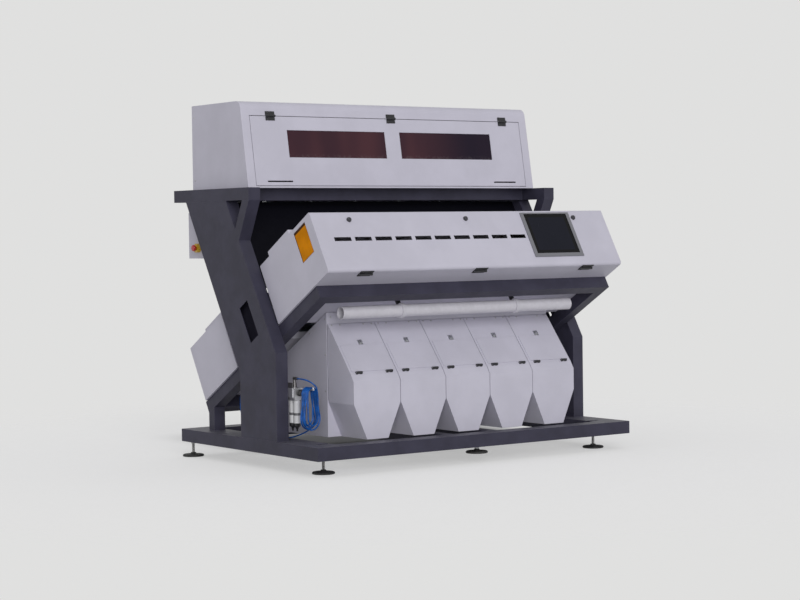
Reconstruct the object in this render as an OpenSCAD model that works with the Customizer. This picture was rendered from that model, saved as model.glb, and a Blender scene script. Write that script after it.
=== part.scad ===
// Five-chute optical colour sorter: product enters the hood, vibrating trays feed it onto leaning
// chutes, two tilted optical boxes look at the falling stream from both sides, air valves kick out
// the rejects and five front hoppers hand out the sorted product.
// Lengths are millimetres. X runs along the machine, Y to its rear, Z up from the floor.

/* [Frame] */
// Distance between neighbouring chutes
chute_pitch = 310; // [290:5:325]
// Free space between the outlet block and a cradle arm
service_gap = 165; // [150:5:185]
// Outside size of the square cradle tube
tube = 70; // [50:2:80]
// Wall of the frame tubes and box sections
tube_wall = 4; // [3:0.5:6]
// Thickness of a side upright
upright_t = 75; // [60:1:95]
// Gap between cradle arm and upright, filled by its bolting face
arm_gap = 2; // [1:1:6]
// Height of a side upright from the base to the top rail
upright_h = 1314; // [1270:2:1380]
// Front edge of the vertical leg
leg_front = -317; // [-335:1:-295]
// Width of the vertical leg
leg_w = 376; // [330:2:400]
// Height at which the leg starts to lean back
leg_h = 482; // [450:1:510]
// Lean of the upright's column
column_lean = 31; // [30:0.5:32]
// Lean of the upright's front strut
strut_lean = 26.5; // [22:0.5:30]
// Height of the waist between column and strut
waist_h = 1091; // [1060:1:1110]
// Width of the front strut under the rail
strut_w = 70; // [55:1:95]
// Width of the notch between strut and column under the rail
notch_w = 176; // [140:1:190]
// Rear edge of the column under the rail
column_rear = 633; // [615:1:660]
// Width of the service slot in the column
slot_w = 95; // [60:1:110]
// Length of the service slot in the column
slot_l = 220; // [150:2:260]
// Height of a top rail
rail_h = 69; // [55:1:85]
// Rear end of a top rail
rail_rear = 771; // [755:1:800]
// Front face of the front top beam
front_beam_y = 150; // [130:1:165]
// Front face of the rear top beam
rear_beam_y = 585; // [570:1:595]
// Depth of a top beam
top_beam_w = 70; // [50:1:80]

/* [Base] */
// Depth of the base, front to rear
base_w = 1450; // [1430:2:1500]
// Height of the base beams
base_h = 72; // [60:1:90]
// Height of the base above the floor
foot_h = 88; // [80:1:115]
// How far the base stands out past the uprights
base_margin = 3; // [1:1:15]
// Width of the front and rear base beams
long_beam_w = 110; // [90:1:115]
// Width of the two side beams of the base
side_beam_w = 180; // [176:1:200]
// Width of the inner cross beams
inner_beam_w = 70; // [50:1:90]
// Radius of a foot pad
pad_r = 62; // [45:1:70]
// Radius of a foot's threaded stem
stem_r = 8; // [6:0.5:10]
// Travel of a levelling foot
foot_travel = 30; // [20:1:40]

/* [Optical boxes] */
// Lean of the chutes and of both optical boxes
tilt = 30; // [29:0.25:31]
// Sheet thickness of boxes, hood and covers
sheet = 3; // [2:0.5:4]
// Overhang of an optical box past the cradle arm
box_overhang = 12; // [8:1:24]
// Height of the front optical box
front_box_h = 362; // [350:1:372]
// Front plane of the front cover in the tilted frame
cover_n = -1110; // [-1125:1:-1100]
// Depth of the front cover
cover_depth = 30; // [24:1:36]
// Rear wall of the front optical box in the tilted frame
front_box_n = -530; // [-540:1:-522]
// Round of the cover's lower front edge
lip_r = 18; // [8:1:22]
// Height of the raised strip on the front box
hump_h = 27; // [15:1:35]
// Length of a cooling slot in the front cover
vent_l = 108; // [80:1:120]
// Distance between cooling slots
vent_pitch = 132.5; // [125:0.5:138]
// Height of a cooling slot
vent_h = 24; // [10:1:30]
// Outside width of the touch screen
screen_w = 358; // [320:1:380]
// Outside height of the touch screen
screen_h = 289; // [260:1:300]
// Width of the screen's silver frame
bezel_w = 22; // [12:1:30]
// Front wall of the rear optical box in the tilted frame
rear_box_n = -20; // [-28:1:-10]
// Depth of the rear optical box
rear_box_d = 418; // [390:1:440]
// Height of the rear optical box
rear_box_h = 339; // [325:1:360]
// Depth of the rear box's lid
lid_d = 220; // [180:1:260]
// Height of the rear box's lid
lid_h = 30; // [20:1:40]
// Reach of the rear box between the uprights
nose_d = 260; // [240:1:270]
// Half width of the rear box between the uprights
nose_half = 880; // [860:1:900]
// Height of the sight glass opening
sight_h = 200; // [160:1:205]

/* [Hood and feed] */
// Height of the hood
hood_h = 487; // [470:1:520]
// Seat of the hood on a top rail
hood_seat = 6; // [4:1:20]
// Lower front edge of the hood
hood_front = 50; // [40:1:60]
// Upper front edge of the hood
hood_front_top = 133; // [120:1:145]
// Rear face of the hood
hood_rear = 668; // [660:1:690]
// Round of the hood's upper front edge
hood_r = 48; // [20:1:60]
// Height of the hood door
door_h = 397; // [380:1:410]
// Half width of the hood door
door_half = 962; // [940:1:975]
// Height of a hood window
window_h = 157; // [120:1:180]
// Width of a hood window
window_w = 673; // [600:1:700]
// Length of a feed tray
tray_l = 288; // [270:1:300]
// Height of a feed tray
tray_h = 50; // [40:1:56]
// Length of a chute
chute_l = 630; // [600:1:640]
// Height of a chute's side walls
chute_wall = 34; // [20:1:50]

/* [Outlets] */
// Front face of the outlet hoppers
hopper_front = -600; // [-608:1:-590]
// Rear edge of the outlet hoppers
hopper_rear = -350; // [-360:1:-340]
// Height of an outlet hopper above the base
hopper_top = 635; // [620:1:650]
// Height at which the hopper's slope ends
fold_h = 360; // [350:1:380]
// Height at which the hopper starts to narrow
taper_h = 200; // [170:1:230]
// Width of a hopper's mouth
mouth_w = 140; // [110:1:180]
// Length of a hopper's inspection door
hatch_l = 177; // [150:1:200]
// Width of a hopper's inspection door
hatch_w = 280; // [240:1:284]
// Outside radius of the suction pipe
pipe_r = 35; // [28:0.5:42]
// Wall of the suction pipe
pipe_wall = 3; // [2:0.5:5]

/* [Hidden] */
$fn = 48;

chute_count = 5;
// Clearances: running fit of a pin, seat of a moving piece, seam round a door
pin_fit = 0.05;
seat_gap = 0.3;
cover_gap = 0.5;
seam = 3;

// Widths from the middle of the machine outwards
block_half = chute_count * chute_pitch / 2;
arm_in = block_half + service_gap;
arm_out = arm_in + tube;
upright_in = arm_out + arm_gap;
upright_out = upright_in + upright_t;
base_half = upright_out + base_margin;
box_half = arm_out + box_overhang;
hood_half = upright_in + hood_seat;

// Heights from the floor up
base_top = foot_h + base_h;
rail_z = base_top + upright_h;
rail_top = rail_z + rail_h;

// Tilted frame: n runs rear and down across the chutes, u runs up along them
arm_u = 357;
box_u = arm_u + tube;
front_top_u = box_u + front_box_h;
rear_top_u = box_u + rear_box_h;
cover_back = cover_n + cover_depth;
front_open_n = cover_back + cover_gap;
rear_back_n = rear_box_n + rear_box_d;
nose_n = rear_box_n - nose_d;
chute_n = (front_box_n + nose_n) / 2 + 15;
sight_u = box_u + 74;
cradle_front_n = cover_back + 125;
cradle_rear_n = rear_back_n + 22;

// Hinges of the doors, lids and hatches
hinge_w = 60;
cover_hinge_w = 84;
hatch_hinge_w = 40;
hinge_r = 7;
hinge_off = hinge_r + 0.5;
hinge_pin_r = 3;
leaf_l = 26;
leaf_t = 4;
hinge_space = 0.5;
hood_hinge_x = [-830, 0, 830];
cover_hinge_x = [-770, 0, 770];
lid_hinge_x = [-700, 0, 700];
hatch_hinge_x = [-100, 100];

// Middle of the object's depth, which is the origin: the cover's hinge leaf is the foremost point
cover_hinge_n = cover_back + cover_gap / 2;
cover_hinge_u = box_u - hinge_off;
foremost = (cover_hinge_n - leaf_l) * cos(tilt) + (box_u - leaf_t) * sin(tilt);
middle_y = (rail_rear + foremost) / 2;

function chute_x(i) = (i - (chute_count - 1) / 2) * chute_pitch;
function unit(v) = v / norm(v);
function left_of(v) = [-v[1], v[0]];

// Points of an arc from angle a0 to angle a1
function arc(c, r, a0, a1, steps = 6) =
    [for (i = [0:steps]) let (a = a0 + (a1 - a0) * i / steps) c + r * [cos(a), sin(a)]];

// The closed outline p, running anticlockwise, moved inwards by d
function inset(p, d) = [
    for (i = [0:len(p) - 1])
        let (
            m = len(p),
            e1 = unit(p[i] - p[(i + m - 1) % m]),
            e2 = unit(p[(i + 1) % m] - p[i]),
            w = left_of(e1) + left_of(e2)
        )
        p[i] + d * w / (1 + left_of(e1) * left_of(e2))
];

module placed() translate([0, -middle_y, 0]) children();
module tilted() translate([0, 0, base_top]) rotate([-tilt, 0, 0]) children();
module block(lo, hi) translate(lo) cube(hi - lo);
module along_x(x0, x1) translate([x0, 0, 0]) rotate([90, 0, 90]) linear_extrude(x1 - x0) children();
module along_y(y0, y1) translate([0, y1, 0]) rotate([90, 0, 0]) linear_extrude(y1 - y0) children();
module rod_x(r, x0, x1) translate([x0, 0, 0]) rotate([0, 90, 0]) cylinder(r = r, h = x1 - x0);
module both_sides() {
    children();
    mirror([1, 0, 0]) children();
}

// A box section: outside lo to hi, hollow by the wall, open at the ends named by ends_x or ends_y
module hollow(lo, hi, wall, open_lo = [0, 0, 0], open_hi = [0, 0, 0]) difference() {
    block(lo, hi);
    block([for (k = [0:2]) lo[k] + (open_lo[k] > 0 ? -1 : wall)],
          [for (k = [0:2]) hi[k] - (open_hi[k] > 0 ? -1 : wall)]);
}

// Base

front_foot = [upright_in - 62, -base_w / 2 + 165];
rear_foot = [upright_in + 28, base_w / 2 - 45];
middle_foot_y = base_w / 2 - long_beam_w / 2;
access_slot = [84, 26];
stem_top = foot_h + 40;
nut_h = 13;
nut_r = 14;
pad_h = 16;

module stem_holes() {
    both_sides() {
        for (p = [front_foot, rear_foot])
            translate([p[0], p[1], foot_h - 1])
                cylinder(r = stem_r + pin_fit, h = tube_wall + 2);
    }
    for (s = [-1, 1])
        translate([0, s * middle_foot_y, foot_h - 1])
            cylinder(r = stem_r + pin_fit, h = tube_wall + 2);
}

module base_frame() color("#3b3a47") {
    difference() {
        for (s = [-1, 1]) {
            y0 = s > 0 ? base_w / 2 - long_beam_w : -base_w / 2;
            hollow([-base_half + side_beam_w, y0, foot_h],
                   [base_half - side_beam_w, y0 + long_beam_w, base_top], tube_wall, [1, 0, 0], [1, 0, 0]);
        }
        stem_holes();
    }
    both_sides() difference() {
        hollow([base_half - side_beam_w, -base_w / 2, foot_h], [base_half, base_w / 2, base_top], tube_wall);
        stem_holes();
        translate([front_foot[0], front_foot[1], base_top])
            cube([access_slot[0], access_slot[1], 3 * tube_wall], center = true);
    }
    both_sides()
        hollow([chute_pitch / 2 - inner_beam_w / 2, -base_w / 2 + long_beam_w, foot_h],
               [chute_pitch / 2 + inner_beam_w / 2, base_w / 2 - long_beam_w, base_top],
               tube_wall, [0, 1, 0], [0, 1, 0]);
}

// A foot: a domed pad with a threaded stem standing on it
module foot(lift) translate([0, 0, lift]) {
    rotate_extrude()
        polygon(concat([[0, 0], [pad_r - 3, 0], [pad_r, 3]],
                       arc([pad_r - 8, pad_h - 11], 8, 0, 80),
                       [[18, pad_h], [14, pad_h + 7], [0, pad_h + 7]]));
    cylinder(r = stem_r, h = stem_top - lift);
}

module corner_feet() color("#1c1c1e")
    both_sides() for (p = [front_foot, rear_foot]) translate([p[0], p[1], 0]) foot(0);

middle_lift = foot_h - nut_h - pad_h - 7 - 2;
module middle_feet() color("#1c1c1e")
    for (s = [-1, 1]) translate([0, s * middle_foot_y, 0]) foot(middle_lift);

module nut_at(x, y) translate([x, y, foot_h - nut_h]) difference() {
    cylinder(r = nut_r, h = nut_h, $fn = 6);
    translate([0, 0, -1]) cylinder(r = stem_r + pin_fit, h = nut_h + 2);
}

module foot_nuts() color("#b9bcc0") {
    both_sides() for (p = [front_foot, rear_foot]) nut_at(p[0], p[1]);
    for (s = [-1, 1]) nut_at(0, s * middle_foot_y);
}

// Uprights, rails and beams

leg_rear = leg_front + leg_w;
waist_y = leg_front + (waist_h - leg_h) * tan(column_lean);
strut_y = waist_y - (upright_h - waist_h) * tan(strut_lean);
knee_h = upright_h - (column_rear - leg_rear) / tan(column_lean);
notch_y = strut_y + strut_w;
notch_d = notch_w / (tan(strut_lean) + tan(column_lean));
slot_h = 645;
slot_back = 176;
slot_y = leg_front + (slot_h - leg_h) * tan(column_lean) + slot_back;
upright_outline = [
    [leg_front, 0], [leg_rear, 0], [leg_rear, knee_h], [column_rear, upright_h],
    [notch_y + notch_w, upright_h], [notch_y + notch_d * tan(strut_lean), upright_h - notch_d],
    [notch_y, upright_h], [strut_y, upright_h], [waist_y, waist_h], [leg_front, leg_h]
];

module upright() translate([0, 0, base_top]) difference() {
    along_x(upright_in, upright_out) polygon(upright_outline);
    along_x(upright_in + tube_wall, upright_out - tube_wall) polygon(inset(upright_outline, tube_wall));
    along_x(upright_in - 1, upright_out + 1)
        translate([slot_y, slot_h]) rotate(-column_lean) square([slot_w, slot_l], center = true);
}

module uprights() color("#3b3a47") both_sides() upright();

module top_frame() color("#3b3a47") {
    both_sides()
        hollow([upright_in, strut_y, rail_z], [upright_out, rail_rear, rail_top], tube_wall,
               [0, 0, 0], [0, 1, 0]);
    for (y = [front_beam_y, rear_beam_y])
        hollow([-upright_in, y, rail_z], [upright_in, y + top_beam_w, rail_top], tube_wall,
               [1, 0, 0], [1, 0, 0]);
}

module cradle_tubes() color("#3b3a47") tilted() {
    both_sides() hollow([arm_in, cradle_front_n, arm_u], [arm_out, cradle_rear_n, box_u], tube_wall);
    for (n = [cradle_front_n, cradle_rear_n - tube])
        hollow([-arm_in, n, arm_u], [arm_in, n + tube, box_u], tube_wall, [1, 0, 0], [1, 0, 0]);
}

post_y = (cradle_rear_n - tube) * cos(tilt) + arm_u * sin(tilt);
module rear_posts() color("#3b3a47") both_sides() difference() {
    block([arm_in, post_y, base_top], [arm_out, post_y + tube * cos(tilt), base_top + 2 * arm_u]);
    block([arm_in + tube_wall, post_y + tube_wall, base_top - 1],
          [arm_out - tube_wall, post_y + tube * cos(tilt) - tube_wall, base_top + 2 * arm_u]);
    tilted() block([arm_in - 1, -base_w, arm_u], [arm_out + 1, base_w, 3 * base_w]);
}

// Hinges: knuckles turn about X, y points into the panel, the leaf lies along z in direction dir

module knuckle(w, x) translate([x, 0, 0]) rod_x(hinge_r, -w / 2, w / 2);
module hinge_bore(w) rod_x(hinge_pin_r + pin_fit, -w, w);

module fixed_knuckles(w) for (s = [-1, 1]) knuckle(w / 3 - hinge_space, s * w / 3);

module knuckle_foot(w, x) translate([x, 0, 0])
    block([-w / 2, 0, -hinge_r], [w / 2, hinge_off, hinge_r]);

module hinge_leaf(w, dir, sink = 0) {
    z = [dir * (hinge_r + hinge_space), dir * leaf_l];
    block([-w / 2, hinge_off - leaf_t, min(z)], [w / 2, hinge_off + sink, max(z)]);
}

// The tongue of a leaf that runs up to its knuckle
module hinge_web(w, dir, x) translate([x, 0, 0]) {
    z = [0, dir * (hinge_r + leaf_t / 2)];
    block([-w / 6 + hinge_space / 2, hinge_off - leaf_t, min(z)],
          [w / 6 - hinge_space / 2, hinge_off, max(z)]);
}

module fixed_hinge(w, dir) difference() {
    union() {
        fixed_knuckles(w);
        hinge_leaf(w, dir);
        for (s = [-1, 1]) hinge_web(w, dir, s * w / 3);
    }
    hinge_bore(w);
}

// The moving leaf sinks halfway into the sheet that it is riveted to
module moving_hinge(w, dir) difference() {
    union() {
        knuckle(w / 3 - hinge_space, 0);
        hinge_leaf(w, dir, sheet / 2);
        hinge_web(w, dir, 0);
    }
    hinge_bore(w);
}

module fixed_hinge_on_feet(w) difference() {
    union() {
        fixed_knuckles(w);
        for (s = [-1, 1]) knuckle_foot(w / 3 - hinge_space, s * w / 3);
    }
    hinge_bore(w);
}

// Places of the hinge axes
module at_hood_hinge() hood_front_plane() translate([0, -hinge_off, door_s + door_h + seam / 2]) children();
module at_cover_hinge() tilted() translate([0, cover_hinge_n, cover_hinge_u]) rotate([90, 0, 0]) children();
module at_lid_hinge() tilted()
    translate([0, lid_n - hinge_off, rear_top_u + hinge_off]) rotate([-90, 0, 0]) children();
module at_hatch_hinge(i) on_slope(i) translate([0, -hinge_off, hatch_axis]) children();

module hinge_leaves() color("#1d1d20") {
    for (x = hood_hinge_x) at_hood_hinge() translate([x, 0, 0]) fixed_hinge(hinge_w, 1);
    for (x = cover_hinge_x) at_cover_hinge() translate([x, 0, 0]) fixed_hinge(cover_hinge_w, -1);
    for (x = lid_hinge_x) at_lid_hinge() translate([x, 0, 0]) fixed_hinge_on_feet(hinge_w);
    for (i = [0:chute_count - 1])
        for (x = hatch_hinge_x)
            at_hatch_hinge(i) translate([x, 0, 0]) fixed_hinge_on_feet(hatch_hinge_w);
}

module hinge_pins() color("#a9adb2") {
    for (x = hood_hinge_x) at_hood_hinge() rod_x(hinge_pin_r, x - hinge_w / 2, x + hinge_w / 2);
    for (x = cover_hinge_x)
        at_cover_hinge() rod_x(hinge_pin_r, x - cover_hinge_w / 2, x + cover_hinge_w / 2);
    for (x = lid_hinge_x) at_lid_hinge() rod_x(hinge_pin_r, x - hinge_w / 2, x + hinge_w / 2);
    for (i = [0:chute_count - 1])
        for (x = hatch_hinge_x)
            at_hatch_hinge(i) rod_x(hinge_pin_r, x - hatch_hinge_w / 2, x + hatch_hinge_w / 2);
}

// Hood

hood_lean = atan((hood_front_top - hood_front) / hood_h);
hood_arc_z = hood_h - hood_r;
hood_arc_y = hood_front + hood_arc_z * tan(hood_lean) + hood_r / cos(hood_lean);
hood_outline = concat([[hood_front, 0], [hood_rear, 0], [hood_rear, hood_h]],
                      arc([hood_arc_y, hood_arc_z], hood_r, 90, 180 - hood_lean));
door_s = 13;
door_depth = 20;
window_s = 175;
window_in = 53;
pane_lap = 10;
pane_t = 5;
grip_slot = [166, 8];
grip_x = 720;
grip_s = 33;
inlet_y = [396, 624];
drop_y = [288, 338];

module hood_front_plane() translate([0, hood_front, rail_top]) rotate([-hood_lean, 0, 0]) children();

module hood_shell() color("#d9d7e0") difference() {
    translate([0, 0, rail_top]) along_x(-hood_half, hood_half) polygon(hood_outline);
    translate([0, 0, rail_top])
        along_x(-hood_half + sheet, hood_half - sheet) polygon(inset(hood_outline, sheet));
    hood_front_plane()
        block([-door_half - seam, -sheet, door_s - seam],
              [door_half + seam, door_depth, door_s + door_h + seam]);
    block([-block_half + sheet, inlet_y[0], rail_top + hood_h - 2 * sheet],
          [block_half - sheet, inlet_y[1], rail_top + hood_h + sheet]);
    block([-block_half, drop_y[0], rail_top - sheet], [block_half, drop_y[1], rail_top + 2 * sheet]);
}

module hood_door() color("#dcdae3") {
    hood_front_plane() difference() {
        block([-door_half, 0, door_s], [door_half, door_depth, door_s + door_h]);
        block([-door_half + sheet, sheet, door_s + sheet],
              [door_half - sheet, door_depth + sheet, door_s + door_h - sheet]);
        both_sides() {
            block([window_in, -sheet, window_s], [window_in + window_w, 2 * sheet, window_s + window_h]);
            block([grip_x, -sheet, grip_s], [grip_x + grip_slot[0], 2 * sheet, grip_s + grip_slot[1]]);
        }
    }
    for (x = hood_hinge_x) at_hood_hinge() translate([x, 0, 0]) moving_hinge(hinge_w, -1);
}

module hood_windows() color("#3a1511") hood_front_plane() both_sides()
    block([window_in - pane_lap, sheet, window_s - pane_lap],
          [window_in + window_w + pane_lap, sheet + pane_t, window_s + window_h + pane_lap]);

// Feed: a trough under the inlet, five vibrating trays and their drives

trough_bottom_y = [470, 590];
tray_gap = 24;
tray_w = chute_pitch - 20;
tray_front = 312;
drive_h = 46;
tray_z = rail_top + sheet + drive_h;
trough_z = tray_z + tray_h + tray_gap;
trough_top = rail_top + hood_h - sheet;
trough_half = block_half;

module trough_shape(d) along_x(-trough_half + d, trough_half - d)
    polygon([[trough_bottom_y[0] + d, trough_z - d], [trough_bottom_y[1] - d, trough_z - d],
             [inlet_y[1] + 6 - d, trough_top + d], [inlet_y[0] - 6 + d, trough_top + d]]);

module feed_hopper() color("#c9ccd0") difference() {
    trough_shape(0);
    trough_shape(sheet);
}

module feed_tray(i) color("#c4c8cc") translate([chute_x(i), 0, 0]) difference() {
    block([-tray_w / 2, tray_front, tray_z], [tray_w / 2, tray_front + tray_l, tray_z + tray_h]);
    block([-tray_w / 2 + sheet, tray_front - sheet, tray_z + sheet],
          [tray_w / 2 - sheet, tray_front + tray_l - sheet, tray_z + tray_h + sheet]);
}

module feed_tray_1() feed_tray(0);
module feed_tray_2() feed_tray(1);
module feed_tray_3() feed_tray(2);
module feed_tray_4() feed_tray(3);
module feed_tray_5() feed_tray(4);

// A drive: a base block, two leaf springs and the armature bar that the tray rests on
drive = [120, 200];
drive_plate = 12;
drive_bar = 8;
drive_spring = 4;
magnet = [60, 80];
module tray_vibrators() color("#4a4e55")
    for (i = [0:chute_count - 1]) translate([chute_x(i), tray_front + tray_l / 2, rail_top + sheet]) {
        block([-drive[0] / 2, -drive[1] / 2, 0], [drive[0] / 2, drive[1] / 2, drive_plate]);
        for (y = [-drive[1] * 0.4, drive[1] * 0.4])
            block([-drive[0] * 0.4, y, drive_plate - 1],
                  [drive[0] * 0.4, y + drive_spring, drive_h - drive_bar + 1]);
        block([-magnet[0] / 2, -magnet[1] / 2, drive_plate - 1],
              [magnet[0] / 2, magnet[1] / 2, drive_h - 2 * drive_bar]);
        block([-drive[0] * 0.4, -drive[1] * 0.45, drive_h - drive_bar],
              [drive[0] * 0.4, drive[1] * 0.45, drive_h - seat_gap]);
    }

// Chutes

chute_u = sight_u + sight_h + 10;
bar = 40;
bar_u = [chute_u + 150, chute_u + 439];
chute_t = 4;
module chutes() color("#cfd3d7") tilted()
    for (i = [0:chute_count - 1]) translate([chute_x(i), 0, 0]) difference() {
        block([-chute_pitch / 2 + 6, chute_n - chute_wall, chute_u],
              [chute_pitch / 2 - 6, chute_n + chute_t, chute_u + chute_l]);
        block([-chute_pitch / 2 + 6 + sheet, chute_n - chute_wall - 1, chute_u - 1],
              [chute_pitch / 2 - 6 - sheet, chute_n, chute_u + chute_l + 1]);
    }

module chute_bars() color("#3b3a47") tilted()
    for (u = bar_u)
        hollow([-upright_in, chute_n + chute_t, u], [upright_in, chute_n + chute_t + bar, u + bar],
               tube_wall, [1, 0, 0], [1, 0, 0]);

// A dark plate before the chutes keeps daylight out of the view; it is held between the uprights
shield_u = chute_u - 6;
shield_gap = 8;
shield_lip = 16;
shield_n = chute_n - chute_wall - shield_gap - sheet;
shield_top_u = (upright_h + shield_n * sin(tilt)) / cos(tilt) - shield_gap;
module light_shield() color("#17171b") tilted() {
    block([-upright_in, shield_n, shield_u], [upright_in, shield_n + sheet, shield_top_u]);
    block([-upright_in, shield_n - shield_lip, shield_u], [upright_in, shield_n, shield_u + sheet]);
}

// Front optical box

hump_back = 112;
hump_w = 238;
hump_n = [front_box_n - hump_back - hump_w, front_box_n - hump_back];
sight_half = 800;
glass_t = 6;
glass_lap = 12;
end_window = [128, 182];
end_window_edge = [35, 22];
end_window_n = [cover_back + end_window_edge[0], cover_back + end_window_edge[0] + end_window[0]];
end_window_u = [front_top_u - end_window_edge[1] - end_window[1], front_top_u - end_window_edge[1]];
vent_edge = 105;
vent_x = -box_half + vent_edge;
vent_drop = 180;
vent_u = front_top_u - vent_drop;
vent_count = 10;
screen_edge = 264;
screen_x = box_half - screen_edge - screen_w;
screen_drop = 17;
screen_u = front_top_u - screen_drop - screen_h;
bezel_t = 6;
screen_t = 3;
lock_r = 14;
lock_h = 12;
lock_drop = 51;
lock_u = front_top_u - lock_drop;
lock_edge = 237;
lock_x = [-box_half + lock_edge, 0, box_half - lock_edge];
lock_stem_r = 6;
lock_stem = 14;
lock_tongue = 30;
top_r = 8;

front_outline = [
    [front_open_n, box_u], [front_box_n, box_u], [front_box_n, front_top_u], [hump_n[1], front_top_u],
    [hump_n[1], front_top_u + hump_h], [hump_n[0], front_top_u + hump_h], [hump_n[0], front_top_u],
    [front_open_n, front_top_u]
];

module end_window_cut() both_sides()
    block([box_half - 2 * sheet, end_window_n[0], end_window_u[0]],
          [box_half + sheet, end_window_n[1], end_window_u[1]]);

module front_box() color("#d6d4dd") tilted() difference() {
    along_x(-box_half, box_half) polygon(front_outline);
    along_x(-box_half + sheet, box_half - sheet) polygon(inset(front_outline, sheet));
    block([-box_half + sheet, front_open_n - 1, box_u + sheet],
          [box_half - sheet, front_open_n + 2 * sheet, front_top_u - sheet]);
    block([-sight_half, front_box_n - 2 * sheet, sight_u],
          [sight_half, front_box_n + sheet, sight_u + sight_h]);
    end_window_cut();
}

// The cover's section: a rounded lip below, a small round above, cut open at the rear by d
function cover_outline(d) = concat(
    [[cover_back + d, box_u + d], [cover_back + d, front_top_u - d]],
    arc([cover_n + top_r, front_top_u - top_r], top_r - d, 90, 180),
    arc([cover_n + lip_r, box_u + lip_r], lip_r - d, 180, 270)
);

module front_cover() color("#dcdae3") {
    tilted() difference() {
        along_x(-box_half, box_half) polygon(cover_outline(0));
        along_x(-box_half + sheet, box_half - sheet) polygon(cover_outline(sheet));
        for (k = [0:vent_count - 1])
            block([vent_x + k * vent_pitch, cover_n - sheet, vent_u],
                  [vent_x + k * vent_pitch + vent_l, cover_n + 2 * sheet, vent_u + vent_h]);
        for (x = lock_x)
            translate([x, cover_n + 2 * sheet, lock_u]) rotate([90, 0, 0])
                cylinder(r = lock_stem_r + pin_fit, h = 4 * sheet);
    }
    for (x = cover_hinge_x) at_cover_hinge() translate([x, 0, 0]) moving_hinge(cover_hinge_w, 1);
}

// A cam lock: a slotted head outside the cover, a stem through it and a tongue behind it
module cover_lock(k) color("#1d1d20") tilted() translate([lock_x[k], cover_n, lock_u]) rotate([90, 0, 0])
    difference() {
        union() {
            translate([0, 0, seat_gap]) cylinder(r = lock_r, h = lock_h / 2);
            translate([0, 0, seat_gap]) cylinder(r = lock_r * 0.75, h = lock_h);
            translate([0, 0, -lock_stem]) cylinder(r = lock_stem_r, h = lock_stem + lock_h / 2);
            block([-lock_stem_r, -lock_stem_r, -lock_stem], [lock_stem_r, lock_tongue, -lock_stem + 4]);
        }
        block([-1.5, -lock_r / 2, lock_h - 3], [1.5, lock_r / 2, lock_h + 1]);
    }

module cover_lock_1() cover_lock(0);
module cover_lock_2() cover_lock(1);
module cover_lock_3() cover_lock(2);

module screen_bezel() color("#b9bbc4") tilted() difference() {
    block([screen_x, cover_n - bezel_t, screen_u], [screen_x + screen_w, cover_n, screen_u + screen_h]);
    block([screen_x + bezel_w, cover_n - bezel_t - 1, screen_u + bezel_w],
          [screen_x + screen_w - bezel_w, cover_n + 1, screen_u + screen_h - bezel_w * 0.4]);
}

module screen_glass() color("#17161b") tilted()
    block([screen_x + bezel_w, cover_n - screen_t, screen_u + bezel_w],
          [screen_x + screen_w - bezel_w, cover_n, screen_u + screen_h - bezel_w * 0.4]);

module end_windows() color("#c98a1a") tilted() both_sides()
    block([box_half - sheet - pane_t, end_window_n[0] - pane_lap, end_window_u[0] - pane_lap],
          [box_half - sheet, end_window_n[1] + pane_lap, end_window_u[1] + pane_lap]);

// Rear optical box and its lid

lid_n = rear_box_n + hinge_off + hinge_r + 6;
lid_half = box_half - 22;
lid_opening = 18;
nose_u = [box_u + 34, rear_top_u - 25];

module rear_solid(d) {
    along_x(-box_half + d, box_half - d)
        polygon([[rear_box_n + d, box_u + d], [rear_back_n - d, box_u + d],
                 [rear_back_n - d, rear_top_u - d], [rear_box_n + d, rear_top_u - d]]);
    along_x(-nose_half + d, nose_half - d)
        polygon([[nose_n + d, nose_u[0] + d], [rear_box_n + 2 * sheet, nose_u[0] + d],
                 [rear_box_n + 2 * sheet, nose_u[1] - d], [nose_n + d, nose_u[1] - d]]);
}

module rear_box() color("#d6d4dd") tilted() {
    difference() {
        rear_solid(0);
        rear_solid(sheet);
        block([-sight_half, nose_n - sheet, sight_u], [sight_half, nose_n + 2 * sheet, sight_u + sight_h]);
        block([-lid_half + lid_opening, lid_n + lid_opening, rear_top_u - 2 * sheet],
              [lid_half - lid_opening, lid_n + lid_d - lid_opening, rear_top_u + sheet]);
    }
    translate([-hose_port_x, hose_port_n, hose_port_u]) hose_elbow();
}

module rear_lid() color("#dcdae3") {
    tilted() difference() {
        block([-lid_half, lid_n, rear_top_u + cover_gap], [lid_half, lid_n + lid_d, rear_top_u + lid_h]);
        block([-lid_half + sheet, lid_n + sheet, rear_top_u - 1],
              [lid_half - sheet, lid_n + lid_d - sheet, rear_top_u + lid_h - sheet]);
    }
    for (x = lid_hinge_x)
        at_lid_hinge() translate([x, 0, 0]) difference() {
            union() {
                knuckle(hinge_w / 3 - hinge_space, 0);
                block([-hinge_w / 6 + hinge_space / 2, -hinge_r, 0],
                      [hinge_w / 6 - hinge_space / 2, hinge_r - 1, hinge_off + sheet]);
            }
            hinge_bore(hinge_w);
        }
}

// Optics: glasses, lamps, cameras and background plates

module sight_glasses() color("#b8cdd2") tilted() {
    block([-sight_half - glass_lap, front_box_n - sheet - glass_t, sight_u - glass_lap],
          [sight_half + glass_lap, front_box_n - sheet, sight_u + sight_h + glass_lap]);
    block([-sight_half - glass_lap, nose_n + sheet, sight_u - glass_lap],
          [sight_half + glass_lap, nose_n + sheet + glass_t, sight_u + sight_h + glass_lap]);
}

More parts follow.
